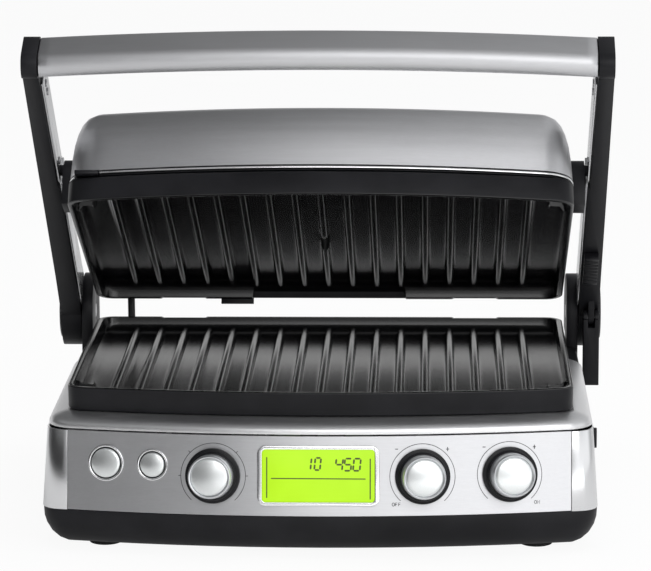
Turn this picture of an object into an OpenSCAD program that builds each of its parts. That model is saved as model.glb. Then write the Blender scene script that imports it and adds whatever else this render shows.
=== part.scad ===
// Electric indoor grill with a hinged floating lid, stored with the lid raised.
// Millimetres. +X right, +Y to the back, +Z up. The origin is on the table,
// under the middle of the base's footprint.

/* [Cooking plates] */
// Width of each cooking plate over its walls
plate_w = 335; // [320:1:350]
// Depth of each cooking plate at its corners
plate_d = 230; // [220:1:240]
// Height of a plate's outer wall
plate_h = 16; // [14:0.5:18]
// Thickness of a plate's walls
plate_wall = 4; // [3:0.5:5]
// Thickness of a plate's floor
plate_floor = 4.5; // [3.5:0.5:6]
// Radius of a plate's corners seen from above
plate_corner_r = 12; // [8:1:16]
// Radius of the bowed front that plates, lid and base share
bow_r = 825; // [700:5:1200]
// Number of ribs on each plate
rib_count = 17; // [13:2:17]
// Distance from one rib to the next
rib_pitch = 17.3; // [15:0.1:17.6]
// Width of a rib
rib_w = 5; // [3:0.5:7]
// Height of a rib above the plate's floor
rib_h = 6; // [4:0.5:7]

/* [Base] */
// Height of the lower plate's rim above the table
rim_z = 107; // [98:1:112]
// Depth of the base at the table
base_d = 297; // [290:1:305]
// How far the base's front middle lies before the plate's front corners
front_reach = 40; // [38:1:44]
// Width of the steel ledge round the lower plate
ledge_w = 12.5; // [10:0.5:16]
// Height from the table to the joint of tub and panel
tub_h = 29.3; // [26:0.1:32]
// Height of the joint of panel and ledge below the rim
panel_drop = 25; // [24:0.5:28]
// How far the panel leans back from its foot to its top
panel_lean = 10; // [6:0.5:12]
// Width of the wraps' faces at both sides of the panel
wrap_face = 14; // [10:0.5:20]
// Thickness of the base's plastic walls
shell_t = 3; // [2:0.5:4]
// Thickness of the steel skins
skin_t = 1.5; // [1:0.1:2]
// Height of the rubber feet
foot_h = 3; // [2:0.5:5]
// Radius of the rubber feet
foot_r = 11; // [8:0.5:14]

/* [Hinge and arms] */
// Distance of the hinge axis behind the lower plate
hinge_back = 17; // [15:0.5:20]
// Height of the hinge axis above the lower plate's rim
hinge_rise = 1; // [0:0.5:3]
// Angle of the raised arms above the table
arm_angle = 41.2; // [38:0.2:45]
// Distance from the hinge axis to the handle
arm_len = 331.5; // [325:0.5:345]
// Distance from the hinge axis to the lid's pivots
pivot_len = 187; // [180:0.5:192]
// Width of an arm in side view
arm_w = 26; // [22:1:30]
// Thickness of an arm's black shell at the handle
arm_t = 10.5; // [8:0.5:12]
// Distance of the arms' black shells outside the plates
arm_clear = 13.5; // [13:0.5:18]
// Thickness that an arm gains towards the hinge
arm_grow = 2.5; // [1:0.1:5]
// Radius of an arm's hinge knuckle
knuckle_r = 25; // [22:0.5:27]
// Radius of the hinge pins
hinge_pin_r = 5; // [4:0.5:6]
// Radius of the lid's pivot pins
pivot_pin_r = 4; // [3:0.5:5]
// Radius of the hinge's outer discs
disc_r = 20.8; // [16:0.2:22]

/* [Handle] */
// Height of the handle bar's section
bar_h = 34; // [26:0.2:36]
// Thickness of the handle bar's section
bar_t = 17; // [12:0.2:18]
// Lean of the bar's section from flat
bar_lean = 23; // [15:1:30]
// How far the bar's middle bows outwards
bar_bow = 8.5; // [0:0.5:12]

/* [Lid] */
// Tilt of the raised lid
lid_tilt = 27.7; // [25:0.1:29]
// Depth of the lid's rear rim corner behind the lower plate's rear edge
lid_rear_y = -6; // [-8:0.5:-4]
// Height of the lid's rear rim corner above the lower rim
lid_rear_z = 14; // [13:0.5:20]
// How far the lid cover's foot lies inside the plate's sides
cover_step = 0.2; // [0.2:0.1:5]
// Height of the lid cover over its foot
cover_h = 45.5; // [38:0.5:50]
// Radius of the lid cover's corners seen from above
cover_corner_r = 24; // [22:1:32]
// Thickness of the lid cover's steel
cover_t = 1.2; // [1:0.1:1.6]

/* [Controls] */
// Distance of the start button from the middle
start_x = -140; // [-143:1:-138]
// Distance of the sear button from the middle
sear_x = -109; // [-112:1:-106]
// Distance of the plate selector knob from the middle
select_x = -69; // [-72:1:-66]
// Distance of the temperature knob from the middle
temp_x = 68; // [64:1:72]
// Distance of the time knob from the middle
time_x = 125; // [120:1:128]
// Height of the buttons' axes up the panel's slope
button_s = 32; // [28:0.5:35]
// Height of the knobs' axes up the panel's slope
knob_s = 26; // [24:0.5:29]
// Height of the display's middle up the panel's slope
window_s = 26.8; // [25:0.1:28]
// Radius of the start button
start_r = 9.2; // [8:0.2:10.6]
// Radius of the sear button
sear_r = 7.6; // [7:0.2:9.6]
// Radius of a knob's skirt
knob_r = 16.2; // [14:0.2:17]
// Height of a knob above its collar
knob_h = 15; // [11:0.5:18]
// Width of the display window
window_w = 76.5; // [68:0.5:80]
// Height of the display window
window_h = 38; // [30:0.5:40]
// Travel of the push buttons
button_travel = 1.6; // [1:0.1:2]

/* [Inside] */
// Radius of the heating tubes
tube_r = 3.4; // [2.5:0.1:4]
// Width of the drip tray
tray_w = 240; // [200:1:250]
// Depth of the drip tray
tray_d = 52; // [40:1:56]
// Height of the drip tray
tray_h = 24; // [16:1:26]
// Thickness of the circuit boards
board_t = 1.6; // [1.2:0.2:2.4]

/* [Fits] */
// Radial clearance of a running fit
fit_run = 0.05; // [0.02:0.01:0.1]
// Gap between neighbours that must not touch
gap = 0.3; // [0.2:0.05:0.4]

/* [Hidden] */
$fn = 48;
tiny = 0.01;
// Length that reaches past the whole grill
far = 400;

// Places shared by many pieces
front_y = -base_d / 2;
plate_y = front_y + front_reach;
plate_half = plate_w / 2;
plate_rear = plate_y + plate_d;
panel_top = rim_z - panel_drop;
panel_a = atan(panel_lean / (panel_top - tub_h));
panel_len = (panel_top - tub_h) / cos(panel_a);
hinge_y = plate_rear + hinge_back;
hinge_z = rim_z + hinge_rise;
ledge_half = plate_half + ledge_w;
tub_half = ledge_half + 3.5;
panel_half = ledge_half - wrap_face;
wrap_end = plate_y + 168;
rear_y = base_d / 2;

// Sagitta of the bowed front over a half width
function sag(half) = bow_r - sqrt(bow_r * bow_r - half * half);
plate_front = plate_y - sag(plate_half);
ledge_front = plate_front - ledge_w;

// Points of an arc, without its first point
function arc(x, y, r, a, b, n) =
  [for (i = [1:n]) let (t = a + (b - a) * i / n) [x + r * cos(t), y + r * sin(t)]];

// Plan outline with a bowed front: half width, front middle, rear, radii
function plan(half, front, rear, rf, rb, bow = bow_r) =
  let (by = front + bow, cx = half - rf,
       cy = by - sqrt(pow(bow - rf, 2) - cx * cx), t = atan2(cy - by, cx))
  concat(
    arc(0, by, bow, -180 - t, t, 14), arc(cx, cy, rf, t, 0, 7),
    arc(half - rb, rear - rb, rb, 0, 90, 6), [[-half + rb, rear]],
    arc(rb - half, rear - rb, rb, 90, 180, 6), [[-half, cy]],
    arc(-cx, cy, rf, 180, 180 - t, 7));

// The same outline drawn in by a distance
function inner(half, front, rear, rf, rb, in) =
  plan(half - in, front + in, rear - in, max(rf - in, 1.2), max(rb - in, 1.2), bow_r - in);

// Solid through rings of points that all hold the same count
module skin(rings) {
  n = len(rings[0]);
  m = len(rings);
  polyhedron(
    [for (r = rings) for (p = r) p],
    concat(
      [for (j = [0:m - 2]) for (i = [0:n - 1]) [j * n + i, (j + 1) * n + i, (j + 1) * n + (i + 1) % n]],
      [for (j = [0:m - 2]) for (i = [0:n - 1]) [j * n + i, (j + 1) * n + (i + 1) % n, j * n + (i + 1) % n]],
      [[for (i = [0:n - 1]) i], [for (i = [n - 1:-1:0]) (m - 1) * n + i]]));
}
function level(points, z) = [for (p = points) [p[0], p[1], z]];

module both_sides() {
  children();
  mirror([1, 0, 0]) children();
}
// Cylinder along X from x0 to x1 with its axis at y, z
module x_rod(r, x0, x1, y = 0, z = 0) {
  translate([x0, y, z]) rotate([0, 90, 0]) cylinder(r = r, h = x1 - x0);
}
// Extrusion along X of an outline given in Y and Z
module x_slab(x0, x1) {
  translate([x0, 0, 0]) rotate([90, 0, 90]) linear_extrude(x1 - x0) children();
}
// Box given by its low and high corners
module block(lo, hi) {
  translate(lo) cube(hi - lo);
}
// Rectangle with round corners, drawn from its middle
module round_rect(w, h, r) {
  square([w - 2 * r, h], center = true);
  square([w, h - 2 * r], center = true);
  for (i = [-1, 1], j = [-1, 1]) translate([i * (w / 2 - r), j * (h / 2 - r)]) circle(r);
}

// ---- Base shells ----
tub_corner = 18;
// Height above the tub's floor and inset of its boat-shaped side
tub_sides = [[0, 21], [1.2, 15.5], [4, 10], [8.5, 5.2], [14, 2], [19, 0.5], [tub_h - foot_h, 0]];
function tub_ring(in, z) =
  level(inner(tub_half, front_y, rear_y, tub_corner, tub_corner, in), z);
foot_x = tub_half - 40;
foot_front = front_y + 46;
foot_back = rear_y - 42;
foot_places = [for (x = [-foot_x, foot_x], y = [foot_front, foot_back]) [x, y]];
screw_places = [for (x = [-foot_x + 30, foot_x - 30], y = [foot_front, rear_y - tray_d - 18]) [x, y]];
boss_r = 5;
screw_r = 1.9;
post_top = panel_top - 16;

module lower_tub() color([0.11, 0.11, 0.12]) difference() {
  union() {
    difference() {
      skin([for (s = tub_sides) tub_ring(s[1], foot_h + s[0])]);
      skin([for (s = tub_sides) tub_ring(s[1] + shell_t, foot_h + shell_t + s[0])]);
    }
    for (p = screw_places) translate([p[0], p[1], foot_h + tiny])
      cylinder(r = boss_r, h = tub_h - 5 - foot_h);
  }
  for (p = screw_places) translate([p[0], p[1], 0]) {
    cylinder(r = screw_r + fit_run, h = tub_h);
    cylinder(r = 3.6, h = foot_h + 5);
  }
  for (p = foot_places) translate([p[0], p[1], 0])
    cylinder(r = foot_r - 3, h = foot_h + shell_t / 2);
}

module feet() color([0.06, 0.06, 0.06]) for (p = foot_places) translate([p[0], p[1], 0]) {
  cylinder(r = foot_r, h = foot_h);
  cylinder(r = foot_r - 3 - fit_run, h = foot_h + shell_t / 2);
}

module case_screws() color([0.7, 0.7, 0.72]) for (p = screw_places)
  translate([p[0], p[1], foot_h + 2.4]) {
    cylinder(r = 3.4, h = 2.6);
    cylinder(r = screw_r, h = tub_h + 2 - foot_h);
  }

wrap_corner = 14;
// How far the wraps lean in on each side from foot to top
wrap_lean = 3;
function wrap_ring(in, z) =
  let (t = (z - tub_h) / (panel_top - tub_h))
  level(inner(tub_half - wrap_lean * t, front_y + panel_lean * t, rear_y, wrap_corner, wrap_corner, in), z);

wrap_hole = [plate_y + 12, rim_z - 36.5];
release_w = 7;
release_h = 15;
release_r = 3.4;
module wrap_body(in0, in1, z0, z1) difference() {
  skin([wrap_ring(in0, z0), wrap_ring(in0, z1)]);
  skin([wrap_ring(in1, z0 - 1), wrap_ring(in1, z1 + 1)]);
}
module release_outline(in) x_slab(0, ledge_half + 20)
  translate(wrap_hole) round_rect(release_w - 2 * in, release_h - 2 * in, release_r - in);

module side_wraps() color([0.72, 0.72, 0.73]) difference() {
  wrap_body(0, skin_t, tub_h, panel_top - 1.2);
  block([-panel_half, front_y - 20, 0], [panel_half, plate_y + 40, rim_z]);
  block([-tub_half - 1, wrap_end, 0], [tub_half + 1, rear_y + 1, rim_z]);
  release_outline(-gap);
}

// ---- Rear housing and chassis ----
deck_z = rim_z - 20;
deck_t = 2.5;
tray_x = tray_w / 2;
tray_z = rim_z - 68;
tray_back = rear_y;
tray_mouth = gap + 0.4;
slot_w = 232;
gland_x = 148;
gland_z = rim_z - 55;
gland_r = 6.5;
tower_in = plate_half + 3.5;
tower_t = 8;
tower_r = 27.5;
tower_out = tower_in + tower_t;
rear_side = tower_out - 0.2;

function rear_ring(in, z, half) = level(inner(half, front_y, rear_y, 14, 12, in), z);
waist_z = rim_z - 52;
module rear_solid(in) skin([
  rear_ring(in, tub_h, tub_half), rear_ring(in, waist_z, rear_side),
  rear_ring(in, deck_z - 4, rear_side), rear_ring(in + 1.2, deck_z - 1.2, rear_side),
  rear_ring(in + 4, deck_z, rear_side)]);

module rear_housing() color([0.1, 0.1, 0.11]) difference() {
  rear_solid(0);
  difference() {
    rear_solid(shell_t);
    block([-far, -far, deck_z - deck_t], [far, far, deck_z + 1]);
  }
  block([-far, -far, 0], [far, wrap_end + gap, rim_z]);
  block([-tray_x - tray_mouth, rear_y - 10, tray_z - tray_mouth],
        [tray_x + tray_mouth, rear_y + 5, tray_z + tray_h + tray_mouth]);
  block([-slot_w / 2, plate_rear + 5, deck_z - 10], [slot_w / 2, rear_y - 10, deck_z + 1]);
  block([ledge_lip - plate_half, wrap_end, deck_z - 10],
        [plate_half - ledge_lip, plate_rear - 4, deck_z + 1]);
  translate([gland_x, rear_y - 10, gland_z]) rotate([-90, 0, 0]) cylinder(r = gland_r + fit_run, h = 20);
  both_sides() block([tower_in - gap, hinge_y - tower_r - gap, waist_z],
        [tower_out + 5, hinge_y + tower_r + 5, rim_z]);
}

module hinge_towers() color([0.12, 0.12, 0.13]) both_sides() difference() {
  x_slab(tower_in, tower_out) difference() {
    union() {
      translate([hinge_y, hinge_z]) circle(tower_r);
      translate([hinge_y - tower_r, waist_z]) square([2 * tower_r, hinge_z - waist_z]);
    }
    translate([rear_y, 0]) square([100, hinge_z - 18]);
  }
  x_rod(hinge_pin_r + fit_run, tower_in - 1, tower_out + 1, hinge_y, hinge_z);
}

pan_t = 1.5;
pan_z = rim_z - 38;
function chassis_ring(in, z) =
  let (t = (z - tub_h) / (panel_top - tub_h))
  level(inner(tub_half - wrap_lean * t - 3, front_y + panel_lean * t, rear_y, wrap_corner, 12, in), z);
module chassis_pan() color([0.55, 0.56, 0.57]) difference() {
  union() {
    difference() {
      skin([chassis_ring(skin_t + 2, tub_h + 2), chassis_ring(skin_t + 2, pan_z)]);
      skin([chassis_ring(skin_t + 2 + pan_t, tub_h), chassis_ring(skin_t + 2 + pan_t, pan_z - pan_t)]);
    }
    for (p = screw_places) translate([p[0], p[1], tub_h - 5 + gap])
      cylinder(r = boss_r, h = pan_z - tub_h + 5 - pan_t / 2 - gap);
  }
  for (p = screw_places) translate([p[0], p[1], tub_h - 6]) cylinder(r = screw_r + fit_run, h = 12);
  block([-panel_half, front_y - 5, 0], [panel_half, front_y + 34, pan_z + 1]);
  block([-panel_half, front_y - 5, 0], [panel_half, front_y + 24 + sag(panel_half), pan_z - pan_t]);
  block([-tray_x - 8, rear_y - tray_d - 10, 0], [tray_x + 8, rear_y + 5, rim_z]);
  both_sides() block([tower_in - 12, hinge_y - tower_r - 6, waist_z - 2], [tub_half, rear_y + 5, rim_z]);
  release_outline(-1);
  translate([gland_x, rear_y - 20, gland_z]) rotate([-90, 0, 0]) cylinder(r = gland_r + 3, h = 30);
}

// ---- Steel ledge ----
ledge_corner = plate_corner_r + ledge_w - 4;
ledge_lip = 6;
ledge_top = rim_z - plate_h - gap;
// Height below the lip and inset of the ledge's rolled edge
ledge_sides = [[panel_drop - plate_h - gap, 0], [6.6, 0.2], [5.3, 1.1], [4.2, 2.8], [2.2, 7.5],
  [0, ledge_w - 0.4]];
module ledge_solid(in, dz) skin([for (s = ledge_sides)
  level(inner(ledge_half, ledge_front, rear_y, ledge_corner, 12, s[1] + in), ledge_top - s[0] + dz)]);

module steel_ledge() color([0.78, 0.78, 0.79]) difference() {
  ledge_solid(0, 0);
  difference() {
    ledge_solid(skin_t, -skin_t);
    block([-far, -far, ledge_top - skin_t], [far, far, rim_z]);
  }
  translate([0, 0, panel_top]) linear_extrude(40)
    polygon(inner(plate_half, plate_front, plate_rear, plate_corner_r, plate_corner_r, ledge_lip));
  block([-far, wrap_end, 0], [far, far, rim_z]);
  block([-plate_half + 12, plate_y + 60, 0], [plate_half - 12, far, rim_z]);
}

// ---- Cooking plates ----
// A plate lies with its rim at z = 0, its front corners at y = 0 and its walls downwards.
plate_cove_r = 13;
pocket_x0 = plate_half - plate_wall - 11.5;
pocket_len = 20;
module plate_outline(in) polygon(inner(plate_half, -sag(plate_half), plate_d,
  plate_corner_r, plate_corner_r, in));

module plate_pocket() intersection() {
  translate([0, 0, -plate_h]) linear_extrude(plate_h + 1) plate_outline(plate_wall);
  x_slab(-plate_half, plate_half) union() {
    polygon(concat(
      [[-40, 1], [-40, plate_floor - plate_h], [plate_d - plate_wall - plate_cove_r, plate_floor - plate_h]],
      [for (i = [1:8]) let (a = 90 * i / 8) [plate_d - plate_wall - plate_cove_r * (1 - sin(a)),
        plate_floor - plate_h + (plate_h - plate_floor - 1.5) * (1 - cos(a))]],
      [[plate_d - plate_wall, 1]]));
  }
}

rib_y0 = 3;
rib_y1 = plate_d - plate_wall - 6;
module rib_row() for (i = [0:rib_count - 1]) {
  x = (i - (rib_count - 1) / 2) * rib_pitch;
  y0 = sag(x) - sag(plate_half) + plate_wall + rib_y0;
  top = plate_floor - plate_h + rib_h - rib_w / 2;
  block([x - rib_w / 2, y0, plate_floor - plate_h - tiny], [x + rib_w / 2, rib_y1, top]);
  translate([x, y0, top]) rotate([-90, 0, 0]) cylinder(r = rib_w / 2, h = rib_y1 - y0, $fn = 24);
}

spout_x = 105;
spout_w = 30;
// Low middle of the upper plate's rear wall: half width and depth
notch_half = 54.6;
notch_h = 5.5;
module cooking_plate() {
  difference() {
    translate([0, 0, -plate_h]) linear_extrude(plate_h) plate_outline(0);
    difference() {
      plate_pocket();
      rib_row();
      both_sides() block([pocket_x0 - 2, -30, -plate_h], [plate_half, 3 + pocket_len + 3, -1.2]);
    }
    both_sides() {
      block([pocket_x0, 3.5, -plate_h / 2 - 2], [plate_half - plate_wall, 3 + pocket_len / 2, 1]);
      block([pocket_x0, 6 + pocket_len / 2, -plate_h / 2 - 2], [plate_half - plate_wall, 3 + pocket_len, 1]);
    }
    both_sides() translate([spout_x, plate_d, 6]) rotate([90, 0, 0])
      linear_extrude(2 * plate_wall, center = true) round_rect(spout_w, 18, 8);
  }
}

module lower_plate() color([0.09, 0.09, 0.1]) translate([0, plate_y, rim_z]) cooking_plate();

// ---- Heating parts ----
// A pan under or over a plate, with its flange at z = 0, hanging down
pan_in = ledge_lip + 4;
reflector_depth = 15;
module reflector() {
  difference() {
    translate([0, 0, -reflector_depth]) linear_extrude(reflector_depth) plate_outline(pan_in);
    translate([0, 0, 1 - reflector_depth]) linear_extrude(reflector_depth) plate_outline(pan_in + 1);
  }
  linear_extrude(1) difference() {
    plate_outline(ledge_lip - 3);
    plate_outline(pan_in + 1);
  }
}
probe_r = 7;
probe_y = plate_d / 2;

reflector_z = ledge_top - skin_t - 1;
module lower_reflector() color([0.8, 0.8, 0.8]) difference() {
  translate([0, plate_y, reflector_z]) reflector();
  translate([0, plate_y + probe_y, 0]) cylinder(r = probe_r + 1, h = rim_z);
  block([-far, plate_rear - 6, 0], [far, far, rim_z]);
}

// Heating tube bent to a long loop with four runs, axis at z = 0
run_x = 103;
run_gap = 52;
module heating_tube() {
  turn = run_gap / 2;
  for (i = [0:3]) translate([-run_x, probe_y + (i - 1.5) * run_gap, 0]) rotate([0, 90, 0])
    cylinder(r = tube_r, h = 2 * run_x);
  for (i = [0:2]) translate([(i % 2 == 0 ? 1 : -1) * run_x, probe_y + (i - 1) * run_gap, 0])
    intersection() {
      rotate_extrude() translate([turn, 0]) circle(tube_r, $fn = 24);
      translate([i % 2 == 0 ? 0 : -far, -far / 2, -20]) cube([far, far, 40]);
    }
}
element_z = rim_z - plate_h - gap - tube_r;
module lower_element() color([0.35, 0.33, 0.32]) {
  translate([0, plate_y, element_z]) heating_tube();
  for (x = [-run_x + 20, run_x - 20], i = [0:3])
    translate([x - 3, plate_y + probe_y + (i - 1.5) * run_gap - 4, reflector_z - reflector_depth + 1])
      cube([6, 8, element_z - reflector_z + reflector_depth - 3]);
}

module thermostat(h) {
  cylinder(r = probe_r - 2, h = h);
  cylinder(r = probe_r, h = h * 0.6);
  translate([0, 0, -3]) cylinder(r = probe_r + 3, h = 3);
}
module lower_thermostat() color([0.62, 0.6, 0.55])
  translate([0, plate_y + probe_y, pan_z + 3]) thermostat(rim_z - plate_h - gap - pan_z - 3);

// ---- Control panel ----
// Panel space: z up the slope from the panel's foot, y into the base.
panel_t = 1.8;
module on_panel() translate([0, front_y, tub_h]) rotate([-panel_a, 0, 0]) children();
// Places a control square to the bowed panel; its local z points out of the panel
module at_control(x, s) on_panel()
  translate([0, bow_r, s + sag(x) * tan(panel_a)]) rotate([0, 0, asin(x / bow_r)])
  translate([0, -bow_r, 0]) rotate([90, 0, 0]) children();
function panel_band(y0, y1, half) = concat(
  [for (i = [0:16]) let (x = -half + half * i / 8) [x, y0 + sag(x)]],
  [for (i = [16:-1:0]) let (x = -half + half * i / 8) [x, y1 + sag(x)]]);

button_spots = [[start_x, start_r], [sear_x, sear_r]];
knob_spots = [select_x, temp_x, time_x];
ring_w = 2.9;
ring_crown = 0.8;
ring_h = 1.2;
ring_neck = 1.2;
collar_r = knob_r + 1.9;
bushing_r = 3.6;
shaft_r = 3;

module control_panel() color([0.74, 0.74, 0.75]) difference() {
  on_panel() translate([0, 0, -10]) linear_extrude(panel_len + 20)
    polygon(panel_band(0, panel_t, panel_half - gap));
  block([-far, -far, 0], [far, 0, tub_h + gap]);
  block([-far, -far, panel_top - 1], [far, 0, panel_top + 40]);
  for (b = button_spots) at_control(b[0], button_s)
    cylinder(r = b[1] + ring_neck + fit_run, h = 20, center = true);
  for (x = knob_spots) at_control(x, knob_s) cylinder(r = bushing_r + fit_run, h = 20, center = true);
  at_control(0, window_s) translate([0, 0, -10]) linear_extrude(20) round_rect(window_w, window_h, 4);
}

// A ring has a flat crown, and its inner side slopes down to the button
module button_rings() color([0.8, 0.8, 0.8]) for (b = button_spots) at_control(b[0], button_s)
  rotate_extrude() translate([b[1], 0]) polygon([
    [gap, -panel_t - 3], [ring_neck, -panel_t - 3], [ring_neck, gap / 3], [ring_w, gap / 3],
    [ring_w, ring_h - 0.3], [ring_w - 0.3, ring_h], [ring_w - ring_crown - 0.3, ring_h],
    [gap + 0.2, -0.3], [gap, -0.3]]);

button_h = 2.6;
button_deep = 4;
button_stem = 5.5;
// Disc of height h with a domed top that rises by a dome height
module domed_disc(r, h, dome) rotate_extrude() polygon(concat(
  [[0, 0], [r, 0], [r, h - dome]],
  [for (i = [1:5]) let (q = r * (1 - i / 5)) [q, h - dome * pow(q / r, 2)]]));
module push_button(x, r) at_control(x, button_s) {
  translate([0, 0, -button_deep]) domed_disc(r, button_deep + button_h, 0.9);
  translate([0, 0, -button_stem]) cylinder(r = 2, h = button_stem - button_deep + tiny);
}
module start_button() color([0.8, 0.82, 0.83]) push_button(start_x, start_r);
module sear_button() color([0.8, 0.82, 0.83]) push_button(sear_x, sear_r);

collar_h = 3.2;
module knob_collars() color([0.05, 0.05, 0.05]) for (x = knob_spots) at_control(x, knob_s)
  translate([0, 0, gap / 3]) difference() {
    cylinder(r = collar_r, h = collar_h);
    translate([0, 0, -1]) cylinder(r = bushing_r + fit_run, h = 20);
  }

knob_foot = collar_h + gap;
knob_top_r = knob_r - 3.4;
cap_r = knob_top_r - 1.2;
cap_seat = 2.4;
module knob(x) at_control(x, knob_s) translate([0, 0, knob_foot]) difference() {
  rotate_extrude() polygon([[shaft_r, 0], [knob_r, 0], [knob_r, 2.2], [knob_r - 1.4, 3.6],
    [knob_r - 2.2, knob_h - 2], [knob_top_r, knob_h], [cap_r, knob_h], [cap_r, knob_h - cap_seat],
    [shaft_r, knob_h - cap_seat]]);
  translate([0, 0, -1]) difference() {
    cylinder(r = knob_r - 4.5, h = knob_h - 5);
    cylinder(r = shaft_r + 3, h = knob_h);
  }
}
module knob_cap(x) at_control(x, knob_s) translate([0, 0, knob_foot + knob_h - cap_seat + fit_run])
  domed_disc(cap_r - fit_run, cap_seat + 1, 1.6);
shaft_in = 6;
module knob_shaft(x) at_control(x, knob_s) translate([0, 0, -shaft_in])
  cylinder(r = shaft_r - fit_run, h = shaft_in + knob_foot + knob_h - 2.6);
module select_knob() color([0.8, 0.8, 0.81]) knob(select_x);
module temp_knob() color([0.8, 0.8, 0.81]) knob(temp_x);
module time_knob() color([0.8, 0.8, 0.81]) knob(time_x);
module select_cap() color([0.86, 0.88, 0.88]) knob_cap(select_x);
module temp_cap() color([0.86, 0.88, 0.88]) knob_cap(temp_x);
module time_cap() color([0.86, 0.88, 0.88]) knob_cap(time_x);
module select_shaft() color([0.6, 0.6, 0.6]) knob_shaft(select_x);
module temp_shaft() color([0.6, 0.6, 0.6]) knob_shaft(temp_x);
module time_shaft() color([0.6, 0.6, 0.6]) knob_shaft(time_x);

board_y = 11;
encoder_w = 13;
encoder_deep = board_y - panel_t - gap;
module encoder_bodies() color([0.3, 0.32, 0.34]) for (x = knob_spots) at_control(x, knob_s) difference() {
  union() {
    translate([0, 0, -panel_t - gap - encoder_deep / 2])
      cube([encoder_w, encoder_w, encoder_deep - gap], center = true);
    translate([0, 0, -panel_t - 1]) cylinder(r = bushing_r, h = panel_t + collar_h + 1);
  }
  translate([0, 0, -shaft_in - gap]) cylinder(r = shaft_r, h = 30);
}

switch_h = board_y - button_stem - button_travel - 2 * gap;
module button_switches() color([0.2, 0.2, 0.22]) for (b = button_spots) at_control(b[0], button_s)
  translate([0, 0, gap - board_y]) {
    cylinder(r = 1.7, h = switch_h);
    translate([-3, -3, 0]) cube([6, 6, switch_h - 0.8]);
  }

// The board follows the panel's bow as a thin curved sheet
module control_board() color([0.1, 0.35, 0.2]) on_panel() translate([0, 0, 6])
  linear_extrude(panel_len - 22) polygon(panel_band(board_y, board_y + board_t, panel_half - 8));

lens_w = window_w - 2.7;
lens_h = window_h - 3.6;
module display_bezel() color([0.82, 0.82, 0.83]) at_control(0, window_s) difference() {
  union() {
    translate([0, 0, gap / 3]) linear_extrude(0.9) round_rect(window_w + 3.5, window_h + 1.5, 5.5);
    translate([0, 0, -panel_t - 1]) linear_extrude(panel_t + 1.4)
      round_rect(window_w - gap, window_h - gap, 3.9);
  }
  translate([0, 0, -10]) linear_extrude(20) round_rect(lens_w, lens_h, 2.4);
}
module display_lens() color([0.62, 0.95, 0.05]) at_control(0, window_s) translate([0, 0, -panel_t - 0.8])
  linear_extrude(panel_t + 0.9) round_rect(lens_w - gap, lens_h - gap, 2.2);
module display_module() color([0.15, 0.3, 0.18]) at_control(0, window_s) {
  translate([0, 0, -panel_t - 1.2 - 2.4]) linear_extrude(2.4) round_rect(window_w - 1, window_h - 6, 1.5);
  for (x = [-30, 30]) translate([x, 0, -board_y + gap]) cylinder(r = 2, h = board_y - panel_t - 3.6 - gap);
}

// ---- Inside the base ----
power_z = foot_h + shell_t + 6;
module power_board() color([0.12, 0.32, 0.22]) {
  block([-130, -80, power_z], [-20, 20, power_z + board_t]);
  for (x = [-125, -25], y = [-75, 15]) translate([x, y, foot_h + shell_t]) cylinder(r = 3, h = 6 + tiny);
}
module power_parts() color([0.25, 0.27, 0.3]) translate([0, 0, power_z + board_t]) {
  for (i = [0:2]) translate([-120 + i * 26, -70, 0]) cube([20, 16, 15]);
  translate([-118, -35, 0]) cube([34, 30, 26]);
  translate([-50, -20, 0]) cylinder(r = 7, h = 22);
  translate([-70, 5, 0]) cube([40, 9, 12]);
}
module cord_gland() color([0.05, 0.05, 0.05]) translate([gland_x, rear_y - shell_t, gland_z])
  rotate([-90, 0, 0]) difference() {
    union() {
      translate([0, 0, shell_t + 0.1]) cylinder(r = gland_r + 2.5, h = 3);
      translate([0, 0, -4]) cylinder(r = gland_r, h = shell_t + 5);
      translate([0, 0, -4 - 2]) cylinder(r = gland_r + 2, h = 2);
    }
    translate([0, 0, -10]) cylinder(r = 3.7, h = 30);
  }

rail_w = 6;
module tray_rails() color([0.5, 0.5, 0.52]) both_sides() difference() {
  block([tray_x - 4, rear_y - tray_d - 6, tray_z - 4],
        [tray_x + rail_w, rear_y - shell_t - gap, tray_z + tray_h - 6]);
  block([tray_x - 10, rear_y - tray_d - 4, tray_z - gap], [tray_x + gap, rear_y, tray_z + tray_h]);
}
module drip_tray() color([0.12, 0.12, 0.13]) difference() {
  union() {
    block([-tray_x, tray_back - tray_d, tray_z], [tray_x, tray_back, tray_z + tray_h]);
    translate([0, tray_back - 1, tray_z + tray_h - 7]) rotate([90, 0, 90])
      linear_extrude(60, center = true) polygon([[0, 7], [5, 7], [5, 5], [1, 2], [0, 0]]);
  }
  block([2 - tray_x, tray_back - tray_d + 2, tray_z + 2], [tray_x - 2, tray_back - 3, tray_z + tray_h + 1]);
}
release_stem = 12;
release_out = ledge_half + 3.4;
module lower_release() color([0.07, 0.07, 0.07]) intersection() {
  release_outline(0);
  union() {
    block([release_out - release_stem, -far, 0], [release_out - 2, far, rim_z]);
    x_slab(release_out - 3, release_out) translate(wrap_hole)
      round_rect(release_w - 1.4, release_h - 1.4, release_r - 0.8);
  }
}

// ---- Arms ----
// Arm space: y along the arm from the hinge axis to the handle, z across it
module in_arm() translate([0, hinge_y, hinge_z]) rotate([180 - arm_angle, 0, 0]) children();
arm_dir = [-cos(arm_angle), sin(arm_angle)];
grip = [hinge_y, hinge_z] + arm_len * arm_dir;
lean_dir = [cos(bar_lean), sin(bar_lean)];
cap_round = 9;
arm_x = plate_half + arm_clear;
arm_out = arm_x + arm_t + arm_grow;
bore_x = tower_in - 20;
thick_x = tower_out + gap + 0.3;
step_len = pivot_len + 4;
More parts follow.
